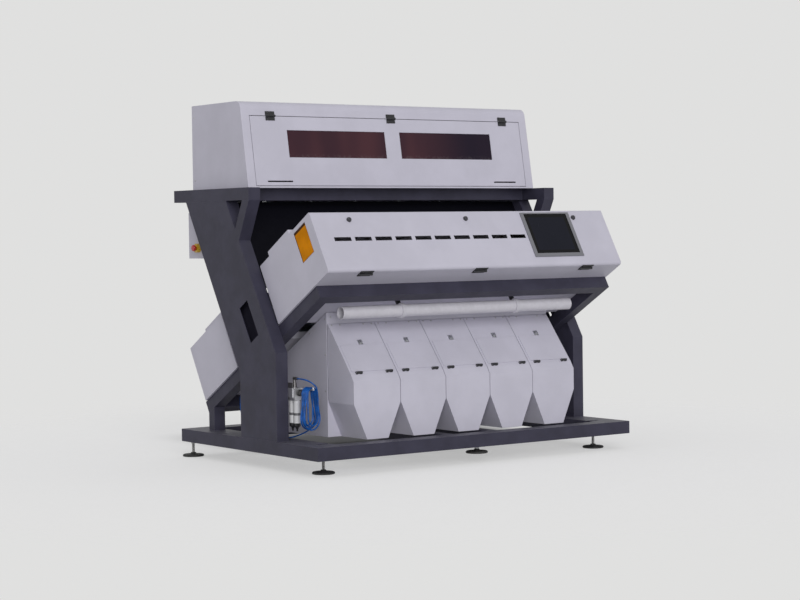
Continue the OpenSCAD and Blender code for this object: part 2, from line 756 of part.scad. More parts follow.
lamp = 36;
lamp_off = 60;
front_lamp_edge = 24;
nose_lamp_edge = 6;
module lamp_bars() color("#e9ecef") tilted() {
    for (u = [box_u + front_lamp_edge, front_top_u - front_lamp_edge - lamp])
        block([-box_half + sheet, front_box_n - lamp_off - lamp, u],
              [box_half - sheet, front_box_n - lamp_off, u + lamp]);
    for (u = [nose_u[0] + nose_lamp_edge, nose_u[1] - nose_lamp_edge - lamp])
        block([-nose_half + sheet, nose_n + lamp_off, u],
              [nose_half - sheet, nose_n + lamp_off + lamp, u + lamp]);
}

// A camera: foot plate, stand, body and a lens that looks along +n
cam = [70, 110, 66];
cam_stand = 130;
cam_plate_t = 5;
lens_r = 26;
lens_l = 45;
front_cam_off = 300;
rear_cam_off = 130;
module camera_unit() {
    block([-cam[0] / 2, -cam[1] / 2, 0], [cam[0] / 2, cam[1] / 2, cam_plate_t]);
    block([-cam[0] / 4, -cam[1] / 4, 0], [cam[0] / 4, cam[1] / 4, cam_stand + cam_plate_t]);
    block([-cam[0] / 2, -cam[1] / 2, cam_stand], [cam[0] / 2, cam[1] / 2, cam_stand + cam[2]]);
    translate([0, cam[1] / 2 - 1, cam_stand + cam[2] / 2])
        rotate([-90, 0, 0]) cylinder(r = lens_r, h = lens_l + 1);
}

module cameras() color("#2c2f36") tilted() for (i = [0:chute_count - 1]) {
    translate([chute_x(i), front_box_n - front_cam_off, box_u + sheet]) camera_unit();
    translate([chute_x(i), rear_back_n - rear_cam_off, box_u + sheet]) rotate([0, 0, 180]) camera_unit();
}

// White plates across each box that the cameras see behind the stream
plate_off = 140;
plate_t = 6;
plate_h = 30;
plate_u = sight_u + 18;
module background_plates() color("#eef0f2") tilted() {
    block([-box_half + sheet, front_box_n - plate_off - plate_t, plate_u],
          [box_half - sheet, front_box_n - plate_off, plate_u + plate_h]);
    block([-nose_half + sheet, nose_n + plate_off, plate_u],
          [nose_half - sheet, nose_n + plate_off + plate_t, plate_u + plate_h]);
}

// Wipers: a carriage with a rubber blade runs along a rail on each sight glass

rail_r = 8;
rail_u = sight_u + sight_h + 24;
rail_off = 24;
rail_half = 870;
wiper_w = 44;
wiper_park = -rail_half + 50;
rail_end = 16;

// dir is +1 where the rail stands out towards +n
module wiper_rail(n, dir) translate([0, n + dir * rail_off, rail_u]) {
    rod_x(rail_r, -rail_half, rail_half);
    both_sides()
        block([rail_half, dir > 0 ? -rail_off : -rail_r - 4, -rail_r - 4],
              [rail_half + rail_end, dir > 0 ? rail_r + 4 : rail_off, rail_r + 4]);
}

module wiper_rails() color("#c3c7cb") tilted() {
    wiper_rail(front_box_n, 1);
    wiper_rail(nose_n, -1);
}

module wiper(n, dir) translate([wiper_park, n + dir * rail_off, rail_u]) difference() {
    union() {
        block([-wiper_w / 2, -rail_off / 1.6, -rail_off / 1.6],
              [wiper_w / 2, rail_off / 1.6, rail_off / 1.6]);
        y = [-dir * (rail_off - seat_gap), -dir * (rail_off - 10)];
        block([-6, min(y), sight_u - rail_u + 2], [6, max(y), -rail_off / 2]);
    }
    rod_x(rail_r + pin_fit, -wiper_w, wiper_w);
}

module front_wiper() color("#2a2d33") tilted() wiper(front_box_n, 1);
module rear_wiper() color("#2a2d33") tilted() wiper(nose_n, -1);

// Ejectors: an air manifold with a nozzle strip below the stream's sight line, and its valve banks

manifold = 48;
manifold_u = sight_u - manifold - 8;
nozzle_slot = 3;
bank_half = chute_pitch * 0.42;
bank_plate = 8;
valve_h = 46;
valve_w = 22;
valves_per_bank = 8;
module ejector_manifold() color("#aeb4ba") tilted() difference() {
    block([-block_half, front_box_n, manifold_u],
          [block_half, front_box_n + manifold, manifold_u + manifold]);
    translate([0, front_box_n + manifold / 2, manifold_u + manifold / 2])
        rod_x(manifold / 4, -block_half - 1, block_half - 2 * bank_plate);
    for (i = [0:chute_count - 1])
        translate([chute_x(i), front_box_n, manifold_u + manifold * 0.6])
            block([-bank_half, manifold * 0.6, 0], [bank_half, manifold + 1, nozzle_slot]);
}

// A bank of valves: a plate below the manifold with a comb of coil housings
module ejector_valves() color("#23262b") tilted()
    for (i = [0:chute_count - 1]) translate([chute_x(i), front_box_n, manifold_u]) {
        block([-bank_half, 2, -bank_plate], [bank_half, manifold - 2, 0]);
        for (k = [0:valves_per_bank - 1]) {
            x = (k - (valves_per_bank - 1) / 2) * 2 * bank_half / (valves_per_bank + 0.4);
            block([x - valve_w / 2, 4, -valve_h], [x + valve_w / 2, manifold - 4, -bank_plate + 1]);
        }
    }

// Outlets

hopper_gap = 4;
hopper_half = chute_pitch / 2 - hopper_gap / 2;
hopper_wall = 2.5;
hopper_lift = 8;
fold_y = hopper_front + 25;
fold_low = fold_h - 40;
slope_a = atan((hopper_rear - fold_y) / (hopper_top - fold_h));
hatch_axis = 9;
hatch_s = hatch_axis + hinge_r + 3;
hatch_t = 3;
hatch_rim = 14;
hopper_outline = [
    [hopper_front, taper_h], [hopper_rear, taper_h], [hopper_rear, hopper_top],
    [fold_y, fold_h], [hopper_front, fold_low]
];

module on_slope(i) translate([chute_x(i), fold_y, base_top + fold_h]) rotate([-slope_a, 0, 0]) children();

// The narrowing mouth below the hopper, d inside its outer faces and e past its ends
module hopper_mouth(d, e) along_y(hopper_front + d, hopper_rear - d)
    polygon([[-mouth_w / 2 + d, hopper_lift - e], [mouth_w / 2 - d, hopper_lift - e],
             [hopper_half - d, taper_h], [hopper_half - d, taper_h + e],
             [-hopper_half + d, taper_h + e], [-hopper_half + d, taper_h]]);

module outlet_hopper(i) difference() {
    translate([chute_x(i), 0, base_top]) difference() {
        union() {
            along_x(-hopper_half, hopper_half) polygon(hopper_outline);
            hopper_mouth(0, 0);
        }
        along_x(-hopper_half + hopper_wall, hopper_half - hopper_wall)
            polygon(inset(hopper_outline, hopper_wall));
        hopper_mouth(hopper_wall, 2 * hopper_wall);
        block([-hopper_half + hopper_wall, hopper_rear - 2 * hopper_wall, taper_h],
              [hopper_half - hopper_wall, hopper_rear + 1, hopper_top]);
    }
    on_slope(i)
        block([-hatch_w / 2 + hatch_rim, -hopper_wall, hatch_s + hatch_rim],
              [hatch_w / 2 - hatch_rim, 3 * hopper_wall, hatch_s + hatch_l - hatch_rim]);
}

module outlet_hoppers() color("#d9d7e0") for (i = [0:chute_count - 1]) outlet_hopper(i);

module hopper_door(i) color("#dcdae3") {
    on_slope(i)
        block([-hatch_w / 2, -hatch_t - seat_gap, hatch_s], [hatch_w / 2, -seat_gap, hatch_s + hatch_l]);
    for (x = hatch_hinge_x)
        at_hatch_hinge(i) translate([x, 0, 0]) difference() {
            union() {
                knuckle(hatch_hinge_w / 3 - hinge_space, 0);
                block([-hatch_hinge_w / 6 + hinge_space / 2, hinge_off - hatch_t - seat_gap - 2, 0],
                      [hatch_hinge_w / 6 - hinge_space / 2, hinge_off - seat_gap, hinge_r + 8]);
            }
            hinge_bore(hatch_hinge_w);
        }
}

module hopper_door_1() hopper_door(0);
module hopper_door_2() hopper_door(1);
module hopper_door_3() hopper_door(2);
module hopper_door_4() hopper_door(3);
module hopper_door_5() hopper_door(4);

catch_gap = 2;
catch_w = 28;
catch_l = 30;
catch_t = 4;
// A spring catch above each hatch: a plate with a small turned-up tongue
module hopper_catches() color("#b4b8bd") for (i = [0:chute_count - 1]) on_slope(i)
    translate([0, 0, hatch_s + hatch_l + catch_gap]) {
        block([-catch_w / 2, -catch_t, 0], [catch_w / 2, 0, catch_l]);
        block([-catch_w / 4, -3 * catch_t, catch_l * 0.2], [catch_w / 4, -catch_t + 1, catch_l * 0.85]);
    }

// The housing behind the hoppers: side plates, front strips below and above the hoppers' open backs,
// the slide for the sorted product and a rear wall
housing_rear = 100;
housing_half = block_half + sheet;
slide_top = [-60, 400];
housing_u = box_u - sheet;
strip_lap = 12;
function under_boxes(y) = (housing_u - y * sin(tilt)) / cos(tilt);
module outlet_housing() color("#d3d1da") translate([0, 0, base_top]) {
    both_sides() along_x(housing_half - sheet, housing_half)
        polygon([[hopper_rear, hopper_lift], [housing_rear, hopper_lift],
                 [housing_rear, under_boxes(housing_rear)], [hopper_rear, under_boxes(hopper_rear)]]);
    block([-housing_half, hopper_rear, hopper_lift], [housing_half, hopper_rear + sheet, taper_h]);
    along_x(-housing_half, housing_half)
        polygon([[hopper_rear, hopper_top - strip_lap], [hopper_rear + sheet, hopper_top - strip_lap],
                 [hopper_rear + sheet, under_boxes(hopper_rear + sheet)],
                 [hopper_rear, under_boxes(hopper_rear)]]);
    along_x(-housing_half, housing_half)
        polygon([[housing_rear - sheet, 0], [housing_rear, 0],
                 [housing_rear, under_boxes(housing_rear)],
                 [housing_rear - sheet, under_boxes(housing_rear)]]);
    along_x(-housing_half, housing_half)
        polygon([[hopper_rear, taper_h + hopper_wall], slide_top, slide_top + [0, 4],
                 [hopper_rear, taper_h + hopper_wall + 4]]);
}

// Suction pipe on two hangers under the front box

pipe_back = 269;
pipe_drop = 87;
pipe_n = front_box_n - pipe_back;
pipe_u = box_u - pipe_drop;
pipe_half = block_half + 25;
hanger_x = 400;
hanger_w = 24;
hanger_t = 7;
module suction_pipe() color("#e3e2e8") tilted() translate([0, pipe_n, pipe_u]) difference() {
    rod_x(pipe_r, -pipe_half, pipe_half);
    rod_x(pipe_r - pipe_wall, -pipe_half - 1, pipe_half + 1);
}

module pipe_hangers() color("#1d1d20") tilted()
    for (x = [-hanger_x, hanger_x]) translate([x, pipe_n, pipe_u]) difference() {
        union() {
            rod_x(pipe_r + hanger_t, -hanger_w / 2, hanger_w / 2);
            block([-hanger_w / 2, -hanger_t, 0], [hanger_w / 2, hanger_t, box_u - pipe_u]);
        }
        rod_x(pipe_r + pin_fit, -hanger_w, hanger_w);
    }

// Control box under the rear beam, with its emergency stop on the left end

cabinet_half = upright_in - 10;
cabinet_y = [rear_beam_y - 85, rear_beam_y + 170];
cabinet_drop = 60;
cabinet_h = 265;
cabinet_top = rail_z - cabinet_drop;
lug_x = 600;
lug_w = 80;
lug_t = 8;
cable_r = 30;
estop_drop = 204;
estop_edge = 115;
estop_r = 26;
estop_h = 22;
button_r = 19;
button_h = 24;
button_travel = 5;
button_stem_r = 9;

module control_box() color("#d6d4dd") {
    difference() {
        hollow([-cabinet_half, cabinet_y[0], cabinet_top - cabinet_h],
               [cabinet_half, cabinet_y[1], cabinet_top],
               sheet);
        translate([0, (cabinet_y[0] + cabinet_y[1]) / 2, cabinet_top - cabinet_h - 1])
            cylinder(r = cable_r, h = sheet + 2);
    }
    for (x = [-lug_x, lug_x])
        block([x - lug_w / 2, rear_beam_y + top_beam_w / 2 - lug_t / 2, cabinet_top],
              [x + lug_w / 2, rear_beam_y + top_beam_w / 2 + lug_t / 2, rail_z]);
}

module at_estop() translate([-cabinet_half, cabinet_y[1] - estop_edge, cabinet_top - estop_drop])
    rotate([0, -90, 0]) children();

module estop_base() color("#d9a514") at_estop() difference() {
    cylinder(r = estop_r, h = estop_h);
    translate([0, 0, 2]) cylinder(r = button_stem_r + pin_fit, h = estop_h);
}

module estop_button() color("#b3161b") at_estop() {
    translate([0, 0, 2 + button_travel + seat_gap]) cylinder(r = button_stem_r, h = estop_h);
    translate([0, 0, estop_h + button_travel + seat_gap])
        rotate_extrude()
            polygon(concat([[0, 0], [button_r - 4, 0]],
                           arc([button_r - 6, button_h - 14], 6, -20, 90), [[0, button_h - 8]]));
}

// Compressed air: filter and regulator on the left leg, its bowls, its knob and the blue hose

// The left leg's inner front edge at the top of the base, from which the air set and its hose are measured
air_at = [-upright_in, leg_front, base_top];
frl_x = [0, 64];
frl_y = [-57, 33];
frl_z = [225, 290];
frl_plate = 6;
frl_rim = 15;
frl_mid = (frl_x[0] + frl_x[1]) / 2 + 2;
bowl_r = 20;
bowl_rim = 3;
bowl_z = 75;
drain_r = 8;
drain_z = 55;
knob_r = 18;
knob_l = 32;
knob_hub_r = 8;
knob_hub_l = 12;
knob_drop = 25;
hook_r = 5;
hook_x = 60;
hook_drop = 4;
hook_y = -162;
hook_tip = 12;
gland_r = 13;
gland_h = 28;
elbow_r = 9;
elbow_h = 52;
elbow_reach = 25;
hose_r = 4;

module frl_body() color("#b7babd") translate(air_at) {
    block([frl_x[0], frl_y[0] + frl_rim, frl_z[0] + frl_rim],
          [frl_plate, frl_y[1] - frl_rim, frl_z[1] + 2 * frl_rim]);
    block([frl_plate - 1, frl_y[0], frl_z[0]], [frl_x[1], frl_y[1], frl_z[1]]);
    translate([frl_mid, (frl_y[0] + frl_y[1]) / 2, frl_z[1] - 1]) {
        cylinder(r = gland_r, h = gland_h);
        cylinder(r = elbow_r, h = elbow_h + elbow_r);
        translate([0, 4, elbow_h]) rotate([90, 0, 0]) cylinder(r = elbow_r, h = elbow_reach + 4);
    }
    translate([frl_mid, frl_y[0] + 1, frl_z[1] - knob_drop])
        rotate([90, 0, 0]) cylinder(r = knob_hub_r, h = knob_hub_l + 1);
    translate([hook_x, frl_y[0] + 2, frl_z[1] - hook_drop])
        rotate([90, 0, 0]) cylinder(r = hook_r, h = frl_y[0] + 2 - hook_y);
    translate([hook_x, hook_y + hook_r, frl_z[1] - hook_drop]) cylinder(r = hook_r, h = hook_tip);
}

module frl_bowls() color("#dfe2e4") translate(air_at)
    for (y = [frl_y[0] + bowl_r + bowl_rim, frl_y[1] - bowl_r - bowl_rim]) translate([frl_mid, y, 0]) {
        translate([0, 0, bowl_z]) cylinder(r = bowl_r, h = frl_z[0] - bowl_z);
        translate([0, 0, drain_z]) cylinder(r = drain_r, h = bowl_z - drain_z + 1);
    }

module frl_knob() color("#1d1d20")
    translate(air_at + [frl_mid, frl_y[0] - seat_gap, frl_z[1] - knob_drop])
        rotate([90, 0, 0]) difference() {
            cylinder(r = knob_r, h = knob_l);
            translate([0, 0, -1]) cylinder(r = knob_hub_r + pin_fit, h = knob_hub_l + 2);
        }

// Hose route: from the regulator's elbow to the coil, and from the coil along the base to the rear box
hose_rest = hose_r + seat_gap;
hose_lead = [
    [frl_mid, -37, 341], [frl_mid, -62, 341], [39, -92, 339], [51, -119, 331],
    [70, -137, 314], [86, -145, 290], [92, -146, 265]
];
hose_tail = [
    [122, -98, 130], [120, -92, 98], [112, -70, 70], [98, -30, 46], [80, 26, 25],
    [64, 88, hose_rest + 5], [56, 158, hose_rest], [54, 238, hose_rest], [54, 328, hose_rest],
    [58, 408, hose_rest + 1], [66, 488, 12], [78, 563, 30], [90, 626, 62], [99, 670, 108],
    [105, 688, 165], [109, 680, 220], [110, 653, 258]
];
hose_port_x = 880;
hose_port_n = 80;
hose_port_u = box_u - 16;
hose_sides = 8;
hose_in = [for (p = hose_lead) air_at + p];
hose_out = concat(
    [for (p = hose_tail) air_at + p],
    [for (d = [60, 30, 0]) hose_port(hose_port_n + elbow_r + d)]
);

// A point below the rear box's hose elbow, n along the box
function hose_port(n) = [
    -hose_port_x,
    n * cos(tilt) + hose_port_u * sin(tilt),
    base_top - n * sin(tilt) + hose_port_u * cos(tilt)
];

// The elbow under the rear box that takes the hose's end
module hose_elbow() {
    cylinder(r = elbow_r, h = box_u - hose_port_u + 1);
    sphere(r = elbow_r);
    rotate([-90, 0, 0]) cylinder(r = elbow_r, h = elbow_r);
}

function catmull(a, b, c, d, t) =
    0.5 * (2 * b + (c - a) * t + (2 * a - 5 * b + 4 * c - d) * t * t + (3 * b - a - 3 * c + d) * t * t * t);

// Points along the smooth curve through p, with k steps between neighbours
function smooth_path(p, k) = concat(
    [for (i = [0:len(p) - 2]) for (j = [0:k - 1])
        catmull(p[max(i - 1, 0)], p[i], p[i + 1], p[min(i + 2, len(p) - 1)], j / k)],
    [p[len(p) - 1]]
);

// A tube of radius r swept along path, one ring of sides at each point
module swept_tube(path, r, sides) {
    m = len(path);
    dirs = [for (i = [0:m - 1]) unit(path[min(i + 1, m - 1)] - path[max(i - 1, 0)])];
    rings = [
        for (i = [0:m - 1])
            let (a = unit(cross(dirs[i], [1, 0.2, 0.1])), b = cross(dirs[i], a))
            for (k = [0:sides - 1]) path[i] + r * (a * cos(360 * k / sides) + b * sin(360 * k / sides))
    ];
    walls = [
        for (i = [0:m - 2]) for (k = [0:sides - 1])
            let (n = (k + 1) % sides)
            [i * sides + k, (i + 1) * sides + k, (i + 1) * sides + n, i * sides + n]
    ];
    caps = [[for (k = [0:sides - 1]) k], [for (k = [0:sides - 1]) m * sides - 1 - k]];
    polyhedron(rings, concat(walls, caps));
}

module hose_tube() color("#0b4aa0") {
    swept_tube(smooth_path(hose_in, 2), hose_r, hose_sides);
    swept_tube(smooth_path(hose_out, 2), hose_r, hose_sides);
}

// Hanging coil: a pear-shaped ring of hose over the hook
coil_top = [hook_x, 265];
coil_low = [hook_x, 130];
coil_y = [-151, -93];
coil_out = [36, 70];
coil_hole = [26.5, 30];
// The flanks cut the rounds just inside their tangents
flank = 0.99;
module pear(r_top, r_low) {
    d = coil_top[1] - coil_low[1];
    a = asin((r_low - r_top) / d);
    translate(coil_top) circle(r = r_top);
    translate(coil_low) circle(r = r_low);
    side = flank * [cos(a), sin(a)];
    polygon([coil_low + r_low * side, coil_top + r_top * side,
             coil_top + r_top * [-side[0], side[1]], coil_low + r_low * [-side[0], side[1]]]);
}

module hose_coil() color("#0b4aa0") translate(air_at) along_y(coil_y[0], coil_y[1]) difference() {
    pear(coil_out[0], coil_out[1]);
    pear(coil_hole[0], coil_hole[1]);
}

placed() base_frame();
placed() uprights();
placed() top_frame();
placed() cradle_tubes();
placed() rear_posts();
placed() hood_shell();
placed() hood_door();
placed() hood_windows();
placed() feed_hopper();
placed() feed_tray_1();
placed() feed_tray_2();
placed() feed_tray_3();
placed() feed_tray_4();
placed() feed_tray_5();
placed() tray_vibrators();
placed() chutes();
placed() chute_bars();
placed() light_shield();
placed() front_box();
placed() front_cover();
placed() cover_lock_1();
placed() cover_lock_2();
placed() cover_lock_3();
placed() screen_bezel();
placed() screen_glass();
placed() end_windows();
placed() rear_box();
placed() rear_lid();
placed() sight_glasses();
placed() lamp_bars();
placed() cameras();
placed() background_plates();
placed() wiper_rails();
placed() front_wiper();
placed() rear_wiper();
placed() ejector_manifold();
placed() ejector_valves();
placed() outlet_housing();
placed() outlet_hoppers();
placed() hopper_door_1();
placed() hopper_door_2();
placed() hopper_door_3();
placed() hopper_door_4();
placed() hopper_door_5();
placed() hopper_catches();
placed() hinge_leaves();
placed() hinge_pins();
placed() suction_pipe();
placed() pipe_hangers();
placed() control_box();
placed() estop_base();
placed() estop_button();
placed() frl_body();
placed() frl_bowls();
placed() frl_knob();
placed() hose_tube();
placed() hose_coil();
placed() corner_feet();
placed() middle_feet();
placed() foot_nuts();
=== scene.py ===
import math

import bpy
import numpy as np
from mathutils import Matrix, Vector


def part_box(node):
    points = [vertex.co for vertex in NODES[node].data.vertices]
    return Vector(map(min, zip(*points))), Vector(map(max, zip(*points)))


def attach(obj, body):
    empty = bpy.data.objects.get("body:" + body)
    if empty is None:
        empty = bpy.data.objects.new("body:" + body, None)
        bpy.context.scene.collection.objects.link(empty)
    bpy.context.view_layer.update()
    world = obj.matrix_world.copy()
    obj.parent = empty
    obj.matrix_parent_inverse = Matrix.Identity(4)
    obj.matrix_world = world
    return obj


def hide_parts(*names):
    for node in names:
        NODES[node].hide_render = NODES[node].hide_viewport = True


bl_info = {
    "name": "Optical colour sorter",
    "version": (1, 0, 0),
    "blender": (4, 5, 0),
    "location": "View3D > Sidebar > Sorter",
    "description": "Dresses the packed colour sorter: stage, air hose, air set, screws, weld beads and finishes",
    "category": "Object",
}

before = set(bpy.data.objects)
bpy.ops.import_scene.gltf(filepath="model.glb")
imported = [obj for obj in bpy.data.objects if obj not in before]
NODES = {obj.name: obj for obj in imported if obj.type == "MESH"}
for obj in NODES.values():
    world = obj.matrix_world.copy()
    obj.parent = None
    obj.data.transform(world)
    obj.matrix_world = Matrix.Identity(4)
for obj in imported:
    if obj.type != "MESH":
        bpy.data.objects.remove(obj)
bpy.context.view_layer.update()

# Places on the machine, in millimetres of its own drawing
MM = 0.001
MIDDLE_Y = 12.446204882678444  # the middle of the whole depth
BASE_TOP = 160.0
TILT = math.radians(30.0)  # lean of the chutes and of both optical boxes
BOX_U = 427.0  # underside of the front box
PIPE_U = 340.0  # middle of the suction pipe
PIPE_R = 35.0
COVER_HINGE_N = -1079.75
SCREEN_X, SCREEN_U = 579.0, 634.0  # middle of the screen
END_PANE_N, END_PANE_U = -981.0, 671.0  # middle of the clear part of the end windows
LID_N = 0.5  # face of the rear lid under its hinge leaves
HOOD_FOOT = (50.0, 1543.0)  # depth and height of the leaning front's lower edge
HOOD_LEAN = math.atan(83.0 / 487.0)
HOOD_SEAM_S = 411.5  # seam over the hood door
WINDOW_S = 175.0  # lower edge of the hood windows
SLOPE_FOOT = (-575.0, 520.0)  # depth and height of the hopper slope's lower edge
SLOPE_LEAN = math.atan(225.0 / 275.0)
HATCH_S = 19.0  # lower edge of the inspection doors
CHUTES = 5
LOCKS = 3
CHUTE_PITCH = 310.0
LEAF_T = 4.0  # thickness of a hinge leaf
AIR_AT = np.array((-1012.0, -317.0, 160.0))  # the left leg's inner front edge, on the base
AIR_X = 34.0  # middle of the air set, from that edge
BOWL_FOOT = 55.0
FITTING_FOOT = 291.0  # pipe fittings start above the air set's body
AIR_FACE = -59.0
KNOB_FOOT = (AIR_X, -57.3, 265.0)
BOWLS_Y = (-34.0, 10.0)
X_AXIS, Y_AXIS, Z_AXIS = np.eye(3)

# Screws, in the same millimetres
HOOD_HINGES_X = (-830.0, 0.0, 830.0)
HOOD_SCREW_X = 19.0  # from the middle of a hinge
COVER_HINGES_X = (-770.0, 0.0, 770.0)
COVER_SCREW_X = 28.0
LEAF_SCREW = 17.0  # from the pin to the screws of a leaf
HOPPER_SCREWS_X = (-132.0, -78.0, 78.0, 132.0)
HOPPER_SCREW_S = 338.0
HOUSING_FRONT = (-350.0, 824.0)  # depth and height of the screws in the outlet housing's front
HOUSING_HALF = 778.0
HOUSING_SIDE = ((-335.0, 815.0), (-335.0, 620.0), (-335.0, 420.0), (-180.0, 730.0), (60.0, 580.0), (60.0, 300.0))
HOOD_HALF = 1018.0
HOOD_SIDE = ((640.0, 1600.0), (640.0, 1960.0))
REAR_SCREWS_X = (250.0, 500.0, 750.0, 930.0)
REAR_SCREWS = ((668.0, 1560.0), (755.0, 1170.0), (755.0, 1395.0))  # hood, then the control box's two rows
LEAF_SCREW_R = 4.2
SHEET_SCREW_R = 5.0
HEAD_HEIGHT = 0.55  # share of the radius
HEAD_SUNK = 0.4

# Weld beads: middle and size of the leg and of the rear post on the base, in millimetres; the bead in metres
WELDED = (((1049.5, -129.0), (75.0, 376.0)), ((975.0, 511.9), (70.0, 60.6)))
BEAD_R = 0.0026
BEAD_RIPPLE = 0.0005
BEAD_WAVE = 1100.0  # radians of ripple to a metre

# Stage, in degrees and metres
CAMERA_TURN = (35.477, 1.932, -0.819)  # yaw, pitch and roll
CAMERA_AT = (-6.787, -9.48945, 1.283)
FILM_WIDTH = 36.0
VIEW_DEPTH = 100.0
SKY_BLUE = 1.02  # share of blue in the even light
KEY_TURN = (76.0, 0.0, -25.6)
KEY_SPREAD = 40.0
FLOOR_Z = -0.0006
FLOOR_RADII = np.linspace(0.5, 7.0, 14)
FLOOR_AROUND = 64
FLOOR_FADE = (1.7, 4.5)
PAINTED_SHADOW_X = ((-0.8, -0.3), (1.0, 1.5))  # where the shadow painted on the floor behind the machine begins and ends
PAINTED_SHADOW_Y = ((0.3, 0.7), (1.1, 2.0))
# share of the floor colour kept in the painted shadow
PAINTED_SHADOW_SHARE = 0.5

# Finishes: shared colours, and limits in metres
HINGE_BLACK = (0.014, 0.014, 0.017)
PIPE_PALE = (0.60, 0.585, 0.64)
ACROSS = (0.04, 1.0, 1.0)  # brushed along the machine's width
SHARP = (0.0, 0.0005)  # where one finish passes into the next
LEAF_EDGE = (0.0003, 0.0005)  # how far out of the sheet a riveted leaf begins
END_PANE_CLEAR = (0.061, 0.083)  # half width and half height inside the painted shadow rim
SCREEN_LIT = (0.135, 0.109)  # half width and half height of the screen's lit area
PAD_TOP = (0.0235, 0.0245)  # where a foot's pad ends and its stem begins
THREAD_RISE = 0.001  # from root to crest of a foot's thread
EDGE_COS = (0.86, 0.995)  # cosines between the rounded and the true normal, on an edge and off it
UP_COS = (0.55, 0.95)  # cosines between a face's normal and the upright, on a wall and on a floor


def on_floor(p):
    """A place in the drawing's millimetres, moved to the shared frame in metres."""
    return (np.asarray(p, float) - (0.0, MIDDLE_Y, 0.0)) / 1000.0


def turned(y, z, angle):
    """Y and z turned about X by -angle: the drawing's leaning frames."""
    return y * math.cos(angle) + z * math.sin(angle), z * math.cos(angle) - y * math.sin(angle)


def on_box(x, n, u):
    """A place in the leaning frame of the optical boxes: n out of the chutes, u up along them."""
    y, z = turned(n, u, TILT)
    return on_floor((x, y, z + BASE_TOP))


def on_hood(x, y, s):
    """A place on the hood's leaning front: s up along it, y into it."""
    dy, dz = turned(y, s, HOOD_LEAN)
    return on_floor((x, HOOD_FOOT[0] + dy, HOOD_FOOT[1] + dz))


def chute_x(i):
    """The middle of chute i, counted from 0 on the left."""
    return (i - CHUTES // 2) * CHUTE_PITCH


def on_slope(i, x, y, s):
    """A place on the slope of outlet hopper i: s up along it, y into it."""
    dy, dz = turned(y, s, SLOPE_LEAN)
    return on_floor((chute_x(i) + x, SLOPE_FOOT[0] + dy, SLOPE_FOOT[1] + dz))


BOX_N_AXIS = np.array((0.0, math.cos(TILT), -math.sin(TILT)))
BOX_U_AXIS = np.array((0.0, math.sin(TILT), math.cos(TILT)))
HOOD_OUT = np.array((0.0, -math.cos(HOOD_LEAN), math.sin(HOOD_LEAN)))
HOOD_UP = np.array((0.0, math.sin(HOOD_LEAN), math.cos(HOOD_LEAN)))
SLOPE_OUT = np.array((0.0, -math.cos(SLOPE_LEAN), math.sin(SLOPE_LEAN)))
SLOPE_UP = np.array((0.0, math.sin(SLOPE_LEAN), math.cos(SLOPE_LEAN)))


class SorterStage(bpy.types.PropertyGroup):
    """Camera, backdrop and light"""
    lens: bpy.props.FloatProperty(
        name="Lens", description="Focal length on a 36 mm wide film", default=89.99, unit="CAMERA")
    backdrop: bpy.props.FloatVectorProperty(
        name="Backdrop", description="Pale colour behind the machine", size=3, subtype="COLOR",
        default=(0.745, 0.745, 0.74))
    floor: bpy.props.FloatVectorProperty(
        name="Floor", description="Colour of the studio floor", size=3, subtype="COLOR", default=(0.62, 0.62, 0.618))
    floor_glow: bpy.props.FloatVectorProperty(
        name="Floor glow", description="Even light that the camera sees on the open floor", size=3, subtype="COLOR",
        default=(0.425, 0.425, 0.423))
    ambient: bpy.props.FloatProperty(
        name="Ambient", description="Even light from all sides", default=0.39)
    key: bpy.props.FloatProperty(
        name="Key light", description="Strength of the broad light from the front and above", default=1.6)


class SorterHose(bpy.types.PropertyGroup):
    """The air hose and its coil"""
    diameter: bpy.props.FloatProperty(
        name="Diameter", description="Outside diameter of the air hose", default=0.008, unit="LENGTH")
    turns: bpy.props.IntProperty(
        name="Turns", description="Whole turns of the coil on the hook", default=6, min=3, max=6)
    colour: bpy.props.FloatVectorProperty(
        name="Hose colour", description="Blue of the air hose", size=3, subtype="COLOR", default=(0.001, 0.085, 0.36))


class SorterFinish(bpy.types.PropertyGroup):
    """Colours of the coats and panes"""
    frame_coat: bpy.props.FloatVectorProperty(
        name="Frame coat", description="Dark coat of the steel frame", size=3, subtype="COLOR",
        default=(0.042, 0.040, 0.064))
    panel_coat: bpy.props.FloatVectorProperty(
        name="Panel coat", description="Pale coat of boxes, hood and hoppers", size=3, subtype="COLOR",
        default=(0.575, 0.56, 0.65))
    amber: bpy.props.FloatVectorProperty(
        name="Amber", description="Tint of the end windows", size=3, subtype="COLOR", default=(0.62, 0.22, 0.002))
    tinted: bpy.props.FloatVectorProperty(
        name="Tinted panes", description="Tint of the hood windows", size=3, subtype="COLOR",
        default=(0.072, 0.025, 0.033))


